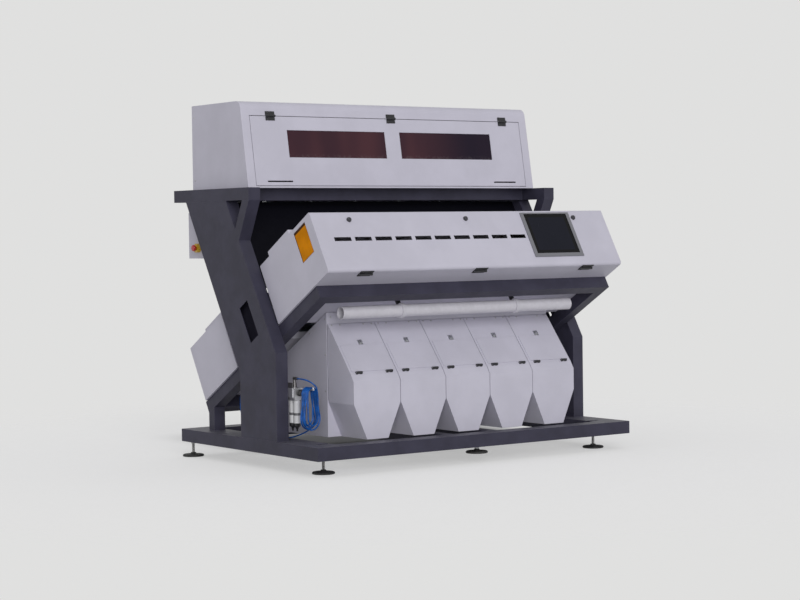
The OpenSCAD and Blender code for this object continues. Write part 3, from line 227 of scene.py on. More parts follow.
class Wire:
    """A socket in a node tree: arithmetic on it adds Math nodes, node() adds any other node."""

    def __init__(self, tree, socket=None):
        self.tree = tree
        self.socket = socket

    def node(self, kind, settings=None, sockets=None, out=0):
        """A new node of this kind: its settings first, then the values or links of its sockets."""
        made = self.tree.nodes.new(kind)
        for key, value in (settings or {}).items():
            setattr(made, key, value)
        for key, value in (sockets or {}).items():
            if isinstance(value, Wire):
                self.tree.links.new(value.socket, made.inputs[key])
            else:
                made.inputs[key].default_value = value
        return Wire(self.tree, made.outputs[out] if len(made.outputs) else None)

    def maths(self, operation, *values):
        """A Math node on the values."""
        return self.node("ShaderNodeMath", {"operation": operation}, dict(enumerate(values)))

    def __add__(self, other):
        return self.maths("ADD", self, other)

    def __radd__(self, other):
        return self.maths("ADD", other, self)

    def __sub__(self, other):
        return self.maths("SUBTRACT", self, other)

    def __rsub__(self, other):
        return self.maths("SUBTRACT", other, self)

    def __mul__(self, other):
        return self.maths("MULTIPLY", self, other)

    def __rmul__(self, other):
        return self.maths("MULTIPLY", other, self)

    def seen(self):
        """1 where the camera, a reflection or clear glass looks, 0 for the light that falls on other surfaces."""
        kinds = ("Camera", "Glossy", "Transmission")
        direct, mirrored, through = (self.node("ShaderNodeLightPath", out=f"Is {kind} Ray") for kind in kinds)
        return self.maths("MINIMUM", direct + mirrored + through, 1.0)

    def step(self, low, high):
        """0 below low, 1 above high, smooth between them."""
        return self.node("ShaderNodeMapRange", {"interpolation_type": "SMOOTHSTEP"},
                         {"Value": self, "From Min": low, "From Max": high})

    def within(self, half, soft=0.003):
        """1 where the value lies within half of zero, 0 outside, smooth over the last soft metres."""
        return 1 - self.maths("ABSOLUTE", self).step(half - soft, half)

    def between(self, rise, fall):
        """0 outside, 1 from the end of rise to the start of fall, smooth over both."""
        return self.step(*rise) * (1 - self.step(*fall))


class Finish(Wire):
    """A material under construction, with its places, noises and the final surface."""

    def __init__(self, name):
        self.made = bpy.data.materials.new(name)
        self.made.use_nodes = True
        super().__init__(self.made.node_tree)
        self.tree.nodes.clear()
        self.place = self.node("ShaderNodeTexCoord", out="Object")

    def along(self, axis, origin=(0.0, 0.0, 0.0)):
        """Distance in metres from origin along axis."""
        return self.dot(self.place, tuple(axis)) - float(np.dot(axis, origin))

    def dot(self, a, b):
        """The dot product of two vectors."""
        return self.node("ShaderNodeVectorMath", {"operation": "DOT_PRODUCT"}, {0: a, 1: b}, out="Value")

    def noise(self, scale, detail=2.0, rough=0.5, stretch=(1.0, 1.0, 1.0)):
        """Fractal noise, scale cells per metre, drawn out along each axis by stretch."""
        place = self.node("ShaderNodeMapping", None, {"Vector": self.place, "Scale": stretch})
        return self.node("ShaderNodeTexNoise", None,
                         {"Vector": place, "Scale": scale, "Detail": detail, "Roughness": rough}, out="Fac")

    def tint(self, share, low, high):
        """Colour between low and high by share."""
        sockets = {0: share}
        for key, colour in ((6, low), (7, high)):
            sockets[key] = colour if isinstance(colour, Wire) else (*colour, 1.0)
        return self.node("ShaderNodeMix", {"data_type": "RGBA"}, sockets, out=2)

    def edges(self, radius):
        """Normal rounded over the edges, and a mask that is 1 on the edges."""
        rounded = self.node("ShaderNodeBevel", {"samples": 4}, {"Radius": radius})
        true = self.node("ShaderNodeNewGeometry", out="True Normal")
        return rounded, 1 - self.dot(rounded, true).step(*EDGE_COS)

    def facing_up(self):
        """1 on faces that look up, 0 on walls and undersides."""
        normal = self.node("ShaderNodeNewGeometry", out="Normal")
        return self.dot(normal, tuple(Z_AXIS)).step(*UP_COS)

    def surface(self, colour, rough, height=None, depth=0.0001, normal=None, **constant):
        """The finished surface: colour, roughness, relief and constant settings of the shader."""
        sockets = {"Base Color": colour if isinstance(colour, Wire) else (*colour, 1.0), "Roughness": rough}
        if height is not None:
            relief = {"Height": height, "Distance": depth, "Strength": 1.0}
            if normal is not None:
                relief["Normal"] = normal
            normal = self.node("ShaderNodeBump", None, relief)
        if normal is not None:
            sockets["Normal"] = normal
        sockets.update({key.replace("_", " "): value for key, value in constant.items()})
        shader = self.node("ShaderNodeBsdfPrincipled", None, sockets)
        self.node("ShaderNodeOutputMaterial", None, {"Surface": shader})
        return self.made


def shade(colour, factor):
    """A colour made lighter or darker."""
    return tuple(min(1.0, c * factor) for c in colour)


# Finishes

def frame_coat(colour):
    """Dark powder coat: fine grain, slow mottling, dust and a painted sheen on upper faces, edges rubbed a little
    lighter.
    """
    f = Finish("frame_coat")
    rounded, edge = f.edges(0.004)
    mottle = f.noise(7.0, 3.0).step(0.3, 0.7)
    base = f.tint(mottle, shade(colour, 0.86), shade(colour, 1.14))
    # upper faces: an even painted sheen on every upward face, with patches of real dust on top
    dust = f.facing_up() * (0.35 + f.noise(28.0, 4.0, 0.65).step(0.42, 0.8) * 0.4)
    base = f.tint(dust, base, (0.20, 0.195, 0.23))
    rub = edge * f.noise(60.0, 2.0).step(0.35, 0.6) * 0.35
    base = f.tint(rub, base, shade(colour, 2.6))
    rough = 0.43 + f.noise(35.0, 3.0) * 0.14
    return f.surface(base, rough, f.noise(900.0, 2.0), 0.00012, rounded, Specular_IOR_Level=0.25)


def panel_coat(name, colour, leaf=None):
    """Pale powder coat: fine grain, faint clouds, hand marks and a painted highlight along the edges; leaf masks a
    black riveted hinge leaf.
    """
    f = Finish(name)
    rounded, edge = f.edges(0.003)
    cloud = f.noise(3.5, 4.0, 0.6).step(0.32, 0.7)
    base = f.tint(cloud, shade(colour, 0.955), shade(colour, 1.035))
    grime = f.noise(16.0, 5.0, 0.7).step(0.6, 0.82) * 0.12
    base = f.tint(grime, base, (0.36, 0.345, 0.36))
    # painted highlight: every edge a little lighter
    base = f.tint(edge * 0.22, base, shade(colour, 1.25))
    rough = 0.36 + f.noise(22.0, 4.0, 0.6) * 0.2
    if leaf is not None:
        mask = leaf(f)
        base = f.tint(mask, base, HINGE_BLACK)
        rough = rough + mask * 0.08
    return f.surface(base, rough, f.noise(1100.0, 2.0), 0.00009, rounded)


def leaf_mask(out, foot):
    """A mask of what stands out of the sheet through foot: the hinge leaves that are riveted to it."""
    return lambda f: f.along(out, foot).step(*LEAF_EDGE)


def black_coat_and_painted_shade():
    """Near-black matt inner coat, darker than black paint as a painted shade, with a little dust."""
    f = Finish("black_coat_and_painted_shade")
    dust = f.noise(14.0, 4.0, 0.6).step(0.5, 0.85) * 0.3
    # near-black colours: painted shade over the black paint
    base = f.tint(dust, (0.002, 0.002, 0.005), (0.007, 0.007, 0.011))
    return f.surface(base, 0.6 + f.noise(40.0) * 0.2, f.noise(700.0), 0.0001, Specular_IOR_Level=0.1)


def brushed(name, colour, stretch, rough):
    """Brushed metal: fine lines drawn out along one axis, in colour, roughness and relief, and a painted highlight on
    the edges.
    """
    f = Finish(name)
    lines = f.noise(240.0, 3.0, 0.7, stretch)
    wide = f.noise(9.0, 2.0)
    base = f.tint(lines, shade(colour, 0.86), shade(colour, 1.1))
    rounded, edge = f.edges(0.0015)
    # painted highlight: every edge lighter
    base = f.tint(edge * 0.4, base, shade(colour, 1.35))
    return f.surface(base, rough - 0.08 + lines * 0.14 + wide * 0.1, lines, 0.00005, rounded, Metallic=1.0)


def moulded(name, colour, rough, grain=900.0, coat=0.0):
    """Moulded plastic: fine grain, slightly uneven gloss, edges a touch lighter as a painted highlight."""
    f = Finish(name)
    rounded, edge = f.edges(0.0012)
    base = f.tint(f.noise(40.0, 3.0), shade(colour, 0.88), shade(colour, 1.12))
    # painted highlight: every edge a touch lighter
    base = f.tint(edge * 0.35, base, tuple(min(1.0, c * 1.5 + 0.012) for c in colour))
    gloss = rough - 0.06 + f.noise(70.0, 3.0) * 0.12
    return f.surface(base, gloss, f.noise(grain), 0.00005, rounded, Coat_Weight=coat)


def hanger_finish(colour):
    """Pipe hanger: the ring round the pipe in the pipe's colour, the stem above it black."""
    f = Finish("hanger_finish")
    stem = f.along(BOX_U_AXIS, on_box(0, 0, PIPE_U + PIPE_R)).step(*SHARP)
    ring = f.tint(f.noise(40.0, 3.0), shade(colour, 0.88), shade(colour, 1.05))
    base = f.tint(stem, ring, (0.012, 0.012, 0.014))
    return f.surface(base, 0.38 + f.noise(70.0) * 0.1, f.noise(800.0), 0.00005)


def tinted_pane(colour):
    """Dark acrylic: deep gloss, painted light of the parts behind it in slow stripes, darker towards the right, dust
    along the lower edge.
    """
    f = Finish("tinted_pane")
    # painted light of the parts behind the pane, in slow stripes, fading to dark towards the right
    painted_light_behind = 0.6 + f.noise(1.0, 1.0, 0.4, (5.0, 0.0, 0.8)).step(0.36, 0.66) * 0.4
    right = f.along(X_AXIS).step(0.2, 0.6)
    base = f.tint(painted_light_behind * (1 - right * 0.9), (0.008, 0.005, 0.017), colour)
    low = f.along(HOOD_UP, on_hood(0, 0, WINDOW_S))
    dust = (1 - low.step(0.0, 0.03)) * f.noise(60.0, 4.0).step(0.4, 0.75) * 0.25
    base = f.tint(dust, base, (0.2, 0.17, 0.17))
    return f.surface(base, 0.1 + f.noise(18.0, 3.0) * 0.08 + dust * 0.4, Specular_IOR_Level=0.15)


def amber_pane(colour):
    """Amber acrylic: a painted glow for the lamps behind it, slow clouds of depth, and a brown rim painted as a shadow
    line that is widest at the top.
    """
    f = Finish("amber_pane")
    middle = on_box(0, END_PANE_N, END_PANE_U)
    half_n, half_u = END_PANE_CLEAR
    clear = f.along(BOX_N_AXIS, middle).within(half_n) * f.along(BOX_U_AXIS, middle).within(half_u)
    cloud = f.noise(11.0, 3.0).step(0.3, 0.75)
    # outside the clear part: a dark brown rim, a painted shadow line
    base = f.tint(clear, (0.07, 0.028, 0.008), f.tint(cloud, shade(colour, 0.82), shade(colour, 1.12)))
    # painted glow: the pane gives light of its own, standing in for the lamps behind it
    glow = f.tint(clear, (0.0, 0.0, 0.0), f.tint(cloud, shade(colour, 0.7), colour))
    return f.surface(base, 0.16 + f.noise(30.0, 3.0) * 0.1, Specular_IOR_Level=0.02, Emission_Color=glow,
                     Emission_Strength=0.10)


def display_glass():
    """Dark display: bluish black face with a slightly paler lit area and finger marks in the gloss."""
    f = Finish("display_glass")
    across = f.along(X_AXIS, on_box(SCREEN_X, 0, 0))
    up = f.along(BOX_U_AXIS, on_box(0, 0, SCREEN_U))
    half_x, half_u = SCREEN_LIT
    inside = across.within(half_x) * up.within(half_u)
    cloud = f.noise(6.0, 2.0)
    lit = f.tint(cloud, (0.005, 0.006, 0.013), (0.008, 0.009, 0.018))
    base = f.tint(inside, (0.004, 0.004, 0.005), lit)
    marks = f.noise(34.0, 5.0, 0.7, (1.0, 1.0, 0.4)).step(0.52, 0.75)
    return f.surface(base, 0.16 + marks * 0.16, Specular_IOR_Level=0.13)


def clear_glass():
    """Clear float glass with a green tinge and faint wiping marks."""
    f = Finish("clear_glass")
    marks = f.noise(12.0, 4.0, 0.6, (0.3, 1.0, 1.0)).step(0.5, 0.8)
    return f.surface((0.80, 0.90, 0.88), 0.03 + marks * 0.1, Transmission_Weight=1.0, IOR=1.5)


def hose_skin(colour):
    """Polyurethane hose: smooth skin, slow change of depth in its blue, light scuffs."""
    f = Finish("hose_skin")
    cloud = f.noise(30.0, 2.0).step(0.3, 0.7)
    base = f.tint(cloud, shade(colour, 0.72), shade(colour, 1.3))
    scuff = f.noise(160.0, 4.0, 0.7).step(0.66, 0.85) * 0.2
    base = f.tint(scuff, base, (0.03, 0.17, 0.46))
    return f.surface(base, 0.26 + f.noise(90.0) * 0.14, f.noise(500.0), 0.00004, Specular_IOR_Level=0.3)


def foot_finish(name, low):
    """Levelling foot: black pad, plated stem with a fine thread above it, painted shade in the thread's roots."""
    f = Finish(name)
    height = f.along(Z_AXIS, (0.0, 0.0, low))
    stem = height.step(*PAD_TOP)
    thread = height.maths("PINGPONG", height, THREAD_RISE) * (1.0 / THREAD_RISE)
    pad = f.tint(f.noise(45.0, 4.0).step(0.4, 0.8), (0.012, 0.012, 0.013), (0.035, 0.034, 0.033))
    # painted shade: the thread's roots darker than its crests
    plated = f.tint(thread, (0.26, 0.26, 0.26), (0.56, 0.55, 0.54))
    base = f.tint(stem, pad, plated)
    rough = 0.62 - stem * 0.3 + f.noise(60.0) * 0.12
    return f.surface(base, rough, thread * stem, 0.0006, Metallic=stem)


def air_set_metal():
    """Die-cast body: silver grain, hook rod of the same metal, pipe fittings in dark steel."""
    f = Finish("air_set_metal")
    fitting = f.along(Z_AXIS, on_floor(AIR_AT + (0, 0, FITTING_FOOT))).step(*SHARP)
    front = f.along(-Y_AXIS, on_floor(AIR_AT + (0, AIR_FACE, 0))).step(*SHARP)
    grain = f.noise(420.0, 3.0, 0.7)
    silver = f.tint(grain, (0.42, 0.42, 0.44), (0.62, 0.62, 0.64))
    dark = f.tint(grain, (0.12, 0.115, 0.12), (0.22, 0.21, 0.215))
    base = f.tint(fitting * (1 - front), silver, dark)
    return f.surface(base, 0.34 + f.noise(80.0) * 0.16, grain, 0.00008, Metallic=0.9)


def bowl_finish():
    """White bowl with a black lower cap and a dark level slot band round its middle."""
    f = Finish("bowl_finish")
    height = f.along(Z_AXIS, on_floor(AIR_AT + (0, 0, BOWL_FOOT)))
    cap = 1 - height.step(0.044, 0.0445)
    band = height.between((0.086, 0.087), (0.100, 0.101))
    white = f.tint(f.noise(30.0, 3.0), (0.58, 0.58, 0.60), (0.70, 0.70, 0.71))
    base = f.tint(cap, f.tint(band, white, (0.10, 0.10, 0.11)), (0.016, 0.016, 0.018))
    return f.surface(base, 0.28 + f.noise(60.0) * 0.12, f.noise(500.0), 0.00005, Coat_Weight=0.2)


# Surfaces

ASKEW = (0.13, 0.21, 0.97)  # a direction that no bead runs along


def lathe(profile, around, ribs=0, rib_depth=0.0):
    """Points (r cos t, r sin t, h) for every (r, h) of profile and angle t; r grows by rib_depth cos(ribs t).

    The first and last profile points lie on the axis, and each closes the surface with one pole."""
    rings = np.asarray(profile[1:-1], float)
    t = np.arange(around) * 2.0 * math.pi / around
    r = rings[:, :1] + rib_depth * np.cos(ribs * t)[None, :] * (rings[:, :1] > 0.6 * rings[:, 0].max())
    h = np.broadcast_to(rings[:, 1:], r.shape)
    points = np.stack((r * np.cos(t), r * np.sin(t), h), axis=-1).reshape(-1, 3)
    points = np.vstack((points, (0.0, 0.0, profile[0][1]), (0.0, 0.0, profile[-1][1])))
    row, col = np.meshgrid(np.arange(len(rings) - 1), np.arange(around), indexing="ij")
    nxt = (col + 1) % around
    here, above = row * around, (row + 1) * around
    quads = np.stack((here + col, here + nxt, above + nxt, above + col), -1)
    k = np.arange(around)
    n = (k + 1) % around
    first = np.stack((n, k, np.full(around, len(points) - 2)), -1)
    top = (len(rings) - 1) * around
    last = np.stack((top + k, top + n, np.full(around, len(points) - 1)), -1)
    return points, quads.reshape(-1, 4).tolist() + first.tolist() + last.tolist()


def stood(points, axis, foot):
    """Points turned so that their z runs along axis, then moved to foot."""
    w = np.asarray(axis, float) / np.linalg.norm(axis)
    u = np.cross(Y_AXIS if abs(w[1]) < 0.9 else X_AXIS, w)
    u = u / np.linalg.norm(u)
    return points @ np.stack((u, np.cross(w, u), w)) + np.asarray(foot)


def repeated(points, faces, places):
    """The same shape at every (axis, foot) of places, as one set of points and faces."""
    all_points = np.vstack([stood(points, axis, foot) for axis, foot in places])
    all_faces = [[v + k * len(points) for v in face] for k in range(len(places)) for face in faces]
    return all_points, all_faces


def swept(path, radius, around):
    """Circles of the given radii along a closed path, each square to it: centre + r (a cos t + b sin t)."""
    path = np.asarray(path, float)
    ahead = np.roll(path, -1, 0) - np.roll(path, 1, 0)
    ahead /= np.linalg.norm(ahead, axis=1, keepdims=True)
    a = np.cross(ahead, ASKEW)
    a /= np.linalg.norm(a, axis=1, keepdims=True)
    b = np.cross(ahead, a)
    t = np.arange(around) * 2.0 * math.pi / around
    points = path[:, None] + np.asarray(radius)[:, None, None] * (
        a[:, None] * np.cos(t)[None, :, None] + b[:, None] * np.sin(t)[None, :, None])
    m = len(path)
    row, col = np.meshgrid(np.arange(m), np.arange(around), indexing="ij")
    here, below, nxt = row * around, (row + 1) % m * around, (col + 1) % around
    quads = np.stack((here + col, here + nxt, below + nxt, below + col), -1)
    return points.reshape(-1, 3), quads.reshape(-1, 4).tolist()


def piece(name, points, faces, body, slot, material):
    """A new smooth piece of the machine that rides on body and wears material; slot is not used."""
    mesh = bpy.data.meshes.new(name)
    mesh.from_pydata(np.asarray(points).tolist(), [], faces)
    mesh.polygons.foreach_set("use_smooth", np.full(len(mesh.polygons), True))
    mesh.materials.append(material)
    mesh.validate()
    mesh.update()
    made = bpy.data.objects.new(name, mesh)
    bpy.context.scene.collection.objects.link(made)
    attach(made, body)
    return made


def numbered(name, count):
    """The names of like nodes, counted from 1."""
    return [f"{name}_{i}" for i in range(1, count + 1)]


def wear(material, *names):
    """The named CAD nodes take this material."""
    for name in names:
        node = NODES[name]
        if not node.material_slots:
            node.data.materials.append(material)
        for k in range(len(node.material_slots)):
            node.material_slots[k].material = material


# Hose route, in millimetres from the left leg's inner front edge at the top of the base

HOSE_LEAD = np.array((
    (34, -37, 341), (34, -62, 341), (40, -93, 339), (54, -121, 331), (74, -140, 313), (90, -145, 291)), float)
HOSE_TAIL = np.array((
    (114, -83, 130), (113, -77, 98), (108, -56, 70), (99, -18, 46), (86, 35, 25),
    (75, 95, 9.3), (69, 165, 4.3), (68, 248, 4.3), (70, 345, 4.3),
    (77, 430, 5.3), (87, 515, 12), (100, 592, 30), (112, 655, 62), (121, 699, 108),
    (127, 717, 165), (131, 709, 220), (132, 682, 258)), float)
HOSE_PORT_X = -880.0
HOSE_PORT_N = 89.0
HOSE_PORT_U = 411.0
COIL_MIDDLE_X = 60.0
COIL_TOP_Z = 260.3
COIL_LOW_Z = 130.0
COIL_MIDDLE_Y = -123.0
COIL_SWING = math.radians(14.0)
COIL_STEP = 8.4
COIL_TOP_R = 35.0
COIL_LOW_R = (38.0, 63.0, 46.0, 54.0, 60.0, 38.0, 66.0)
COIL_REST = 0.22  # share of a further turn before the tail
COIL_CHANGE = 0.45  # share of a turn after which the next low radius begins
COIL_FINE = 48  # points to a turn
HOSE_PORT_RUN = (60.0, 30.0, 0.0)  # straight run into the port
ROUTE_STEPS = 6  # points to a span of lead and tail
ROUTE_FINE = 2  # points to a span of the whole route


def smooth_route(points, steps):
    """A smooth curve through the points: on each span a cubic whose end slopes are half the neighbours' spans."""
    p = np.vstack((points[:1], points, points[-1:]))
    a, b, c, d = p[:-3, None], p[1:-2, None], p[2:-1, None], p[3:, None]
    t = (np.arange(steps) / steps)[None, :, None]
    curve = 0.5 * (2 * b + (c - a) * t + (2 * a - 5 * b + 4 * c - d) * t ** 2 + (3 * b - a - 3 * c + d) * t ** 3)
    return np.vstack((curve.reshape(-1, 3), points[-1:]))


def pear_point(share, r_top, r_low):
    """Places on a pear outline by share of one turn: right flank down, low round, left flank up, top round.

    The outline is two circles and their outer tangents; share runs evenly with the outline's length."""
    drop = COIL_TOP_Z - COIL_LOW_Z
    lean = np.arcsin((r_low - r_top) / drop)
    flank = np.sqrt(drop ** 2 - (r_low - r_top) ** 2)
    low_arc = r_low * (math.pi + 2 * lean)
    top_arc = r_top * (math.pi - 2 * lean)
    run = share * (2 * flank + low_arc + top_arc)
    s1 = np.clip(run / flank, 0, 1)
    s2 = np.clip((run - flank) / low_arc, 0, 1)
    s3 = np.clip((run - flank - low_arc) / flank, 0, 1)
    s4 = np.clip((run - 2 * flank - low_arc) / top_arc, 0, 1)
    side_x, side_z = np.cos(lean), np.sin(lean)
    right_top = np.stack((COIL_MIDDLE_X + r_top * side_x, COIL_TOP_Z + r_top * side_z), -1)
    right_low = np.stack((COIL_MIDDLE_X + r_low * side_x, COIL_LOW_Z + r_low * side_z), -1)
    left = np.array((2 * COIL_MIDDLE_X, 0.0))
    mirror = np.array((-1.0, 1.0))
    left_top, left_low = left + mirror * right_top, left + mirror * right_low
    turn = lean - s2 * (math.pi + 2 * lean)
    low = np.stack((COIL_MIDDLE_X + r_low * np.cos(turn), COIL_LOW_Z + r_low * np.sin(turn)), -1)
    turn = math.pi - lean - s4 * (math.pi - 2 * lean)
    top = np.stack((COIL_MIDDLE_X + r_top * np.cos(turn), COIL_TOP_Z + r_top * np.sin(turn)), -1)
    place = right_top + (right_low - right_top) * s1[:, None]
    place = np.where((s2 > 0)[:, None], low, place)
    place = np.where((s3 > 0)[:, None], left_low + (left_top - left_low) * s3[:, None], place)
    return np.where((s4 > 0)[:, None], top, place)


def hose_route(turns):
    """The whole hose: out of the regulator's elbow, down into the coil, turn by turn, and on to the rear box.

    Each turn is a pear whose low round has its own radius, passing smoothly into the next turn's over the hook,
    and the whole coil hangs turned a little about the upright line through the hook. Lead and tail are smooth
    curves that take their slope from a few points of the coil, and the span between those is the coil's own."""
    last = turns + COIL_REST
    turn = np.linspace(0.0, last, int(last * COIL_FINE))
    past = np.clip(turn - COIL_CHANGE, 0.0, turns)
    share = past % 1.0
    r_low = np.interp(past - share + share ** 2 * (3 - 2 * share), np.arange(len(COIL_LOW_R)), COIL_LOW_R)
    flat = pear_point(turn % 1.0, np.full_like(turn, COIL_TOP_R), r_low)
    out, back = flat[:, 0] - COIL_MIDDLE_X, COIL_STEP * (turn - last / 2)
    cos, sin = math.cos(COIL_SWING), math.sin(COIL_SWING)
    x, y = COIL_MIDDLE_X + out * cos - back * sin, COIL_MIDDLE_Y + out * sin + back * cos
    coil = np.stack((x, y, flat[:, 1]), -1)
    port = np.array([on_box(HOSE_PORT_X, HOSE_PORT_N + d, HOSE_PORT_U) for d in HOSE_PORT_RUN])
    port = port * 1000.0 + (0.0, MIDDLE_Y, 0.0) - AIR_AT
    lead = smooth_route(np.vstack((HOSE_LEAD, coil[2:9:3])), ROUTE_STEPS)[:-ROUTE_STEPS - 1]
    tail = smooth_route(np.vstack((coil[-7:-1:3], HOSE_TAIL, port)), ROUTE_STEPS)[ROUTE_STEPS:]
    return on_floor(smooth_route(np.vstack((lead, coil[5:-4], tail)), ROUTE_FINE) + AIR_AT)


# Turned profiles: radius and height in millimetres, from pole to pole
COLLAR = ((0.0, -1.5), (7.2, -1.5), (7.4, 2.0), (6.3, 3.0), (6.3, 5.0), (7.0, 6.0), (6.6, 9.0), (4.6, 10.0),
          (0.0, 10.0))
KNOB = ((0.0, 0.0), (16.5, 0.0), (17.2, 1.0), (17.2, 21.0), (16.4, 22.5), (15.0, 23.0), (15.6, 24.0),
        (16.2, 25.0), (16.2, 29.0), (14.6, 31.2), (6.0, 31.6), (0.0, 31.6))
HEAD = ((1.0, 0.45), (0.78, 0.92), (0.46, 1.0), (0.42, 0.45), (0.0, 0.45))  # in shares of a screw's radius and height
KNOB_RIBS = 24
KNOB_RIB_DEPTH = 0.55
BOWL = ((0.0, 0.0), (4.0, 0.0), (5.5, 1.5), (5.5, 12.0), (8.0, 13.0), (8.0, 19.0), (11.0, 21.0), (17.0, 25.0),
        (19.2, 31.0), (19.2, 43.5), (19.9, 44.5), (19.9, 49.0), (19.0, 50.5), (19.3, 100.0), (19.6, 156.0),
        (20.0, 158.0), (20.0, 169.5), (0.0, 169.5))


class SORTER_OT_stage(bpy.types.Operator):
    """Sets the camera, the world, the key light and the floor"""
    bl_idname = "sorter.stage"
    bl_label = "Stage"

    def execute(self, context):
        stage = context.scene.sorter_stage
        scene = context.scene
        scene.view_settings.view_transform = "Standard"
        yaw, pitch, roll = (math.radians(a) for a in CAMERA_TURN)
        ahead = np.array((math.sin(yaw) * math.cos(pitch), math.cos(yaw) * math.cos(pitch), -math.sin(pitch)))
        right = np.array((math.cos(yaw), -math.sin(yaw), 0.0))
        up = np.cross(right, ahead)
        turned_right = math.cos(roll) * right + math.sin(roll) * up
        turned_up = math.cos(roll) * up - math.sin(roll) * right
        matrix = np.eye(4)
        matrix[:3, 0], matrix[:3, 1], matrix[:3, 2] = turned_right, turned_up, -ahead
        matrix[:3, 3] = CAMERA_AT
        lens = bpy.data.cameras.new("photo_camera")
        lens.sensor_fit = "HORIZONTAL"
        lens.sensor_width = FILM_WIDTH
        lens.lens = stage.lens
        lens.clip_end = VIEW_DEPTH
        camera = bpy.data.objects.new("photo_camera", lens)
        camera.matrix_world = matrix.T.tolist()
        scene.collection.objects.link(camera)
        scene.camera = camera
        self.light(scene, stage)
        self.floor(scene, stage)
        return {"FINISHED"}

    def light(self, scene, stage):
        """An even world that shows the pale backdrop, and one broad lamp from the front and above."""
        world = bpy.data.worlds.new("studio")
        world.use_nodes = True
        world.node_tree.nodes.clear()
        w = Wire(world.node_tree)
        level = stage.ambient
        colour = w.node("ShaderNodeMix", {"data_type": "RGBA"},
                        {0: w.seen(), 6: (level, level, level * SKY_BLUE, 1.0), 7: (*stage.backdrop, 1.0)}, out=2)
        sky = w.node("ShaderNodeBackground", None, {"Color": colour, "Strength": 1.0})
        w.node("ShaderNodeOutputWorld", None, {"Surface": sky})
        scene.world = world
        key = bpy.data.lights.new("key", "SUN")
        key.energy = stage.key
        key.angle = math.radians(KEY_SPREAD)
        lamp = bpy.data.objects.new("key", key)
        lamp.rotation_euler = [math.radians(a) for a in KEY_TURN]
        scene.collection.objects.link(lamp)

    def floor(self, scene, stage):
        """A disc of rings, points (r cos t, r sin t) at floor height, closed by a fan round its middle."""
        around = FLOOR_AROUND
        k = np.arange(around)
        t = k * 2.0 * math.pi / around
        r = FLOOR_RADII[:, None]
        points = np.stack((r * np.cos(t), r * np.sin(t), np.full((len(r), around), FLOOR_Z)), -1)
        points = np.vstack((points.reshape(-1, 3), (0.0, 0.0, FLOOR_Z)))
        row, col = np.meshgrid(np.arange(len(r) - 1), k, indexing="ij")
        here, outer, nxt = row * around, (row + 1) * around, (col + 1) % around
        quads = np.stack((here + col, outer + col, outer + nxt, here + nxt), -1)
        middle = np.stack((np.full(around, len(points) - 1), k, (k + 1) % around), -1)
        mesh = bpy.data.meshes.new("studio_floor")
        mesh.from_pydata(points.tolist(), [], quads.reshape(-1, 4).tolist() + middle.tolist())
        mesh.materials.append(self.floor_finish(stage))
        made = bpy.data.objects.new("studio_floor", mesh)
        scene.collection.objects.link(made)

    def floor_finish(self, stage):
        """Pale matt floor: its cover fades out with the distance, and behind the machine a shadow is painted, with
        darker colour and no glow.
        """
        f = Finish("studio_floor")
        away = f.node("ShaderNodeVectorMath", {"operation": "LENGTH"}, {0: f.place}, out="Value")
        cover = 1 - away.step(*FLOOR_FADE)
        # painted shadow on the floor behind the machine
        painted_shadow = f.along(X_AXIS).between(*PAINTED_SHADOW_X) * f.along(Y_AXIS).between(*PAINTED_SHADOW_Y)
        base = f.tint(f.noise(4.0, 3.0), shade(stage.floor, 0.985), shade(stage.floor, 1.015))
        base = f.tint(painted_shadow, base, shade(stage.floor, PAINTED_SHADOW_SHARE))
        lit = f.node("ShaderNodeBsdfDiffuse", None, {"Color": base})
        # the even glow is taken away under the painted shadow
        glow = f.node("ShaderNodeEmission", None,
                      {"Color": f.tint(painted_shadow, stage.floor_glow, (0.0, 0.0, 0.0)), "Strength": 1.0})
        glowing = f.node("ShaderNodeAddShader", None, {0: lit, 1: glow})
        shown = f.node("ShaderNodeMixShader", None, {0: f.seen(), 1: lit, 2: glowing})
        clear = f.node("ShaderNodeBsdfTransparent")
        both = f.node("ShaderNodeMixShader", None, {0: cover, 1: clear, 2: shown})
        f.node("ShaderNodeOutputMaterial", None, {"Surface": both})
        return f.made


class SORTER_OT_hose(bpy.types.Operator):
    """Lays the air hose from the regulator through its coil to the rear box, with a collar at each end"""
    bl_idname = "sorter.hose"
    bl_label = "Air hose"

    def execute(self, context):
        hose = context.scene.sorter_hose
        route = hose_route(hose.turns)
        curve = bpy.data.curves.new("air_hose", "CURVE")
        curve.dimensions = "3D"
        curve.bevel_depth = hose.diameter / 2
        curve.bevel_resolution = 3
        curve.use_fill_caps = True
        spline = curve.splines.new("POLY")
        spline.points.add(len(route) - 1)
        spline.points.foreach_set("co", np.hstack((route, np.ones((len(route), 1)))).ravel())
        spline.use_smooth = True
        curve.materials.append(hose_skin(tuple(hose.colour)))
        made = bpy.data.objects.new("air_hose", curve)
        context.scene.collection.objects.link(made)
        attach(made, "frame")
        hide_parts("hose_tube", "hose_coil")
        collars = self.collars(route)
        return {"FINISHED"}

    def collars(self, route):
        """Push-in collars: a grooved ring turned about the hose's line at each end."""
        points, faces = lathe(np.array(COLLAR) * MM, 20)
        places = [(route[1] - route[0], route[0]), (route[-2] - route[-1], route[-1])]
        return piece("hose_collars", *repeated(points, faces, places), "frame", "black_plastic",
                     moulded("collar_plastic", (0.02, 0.03, 0.06), 0.35))


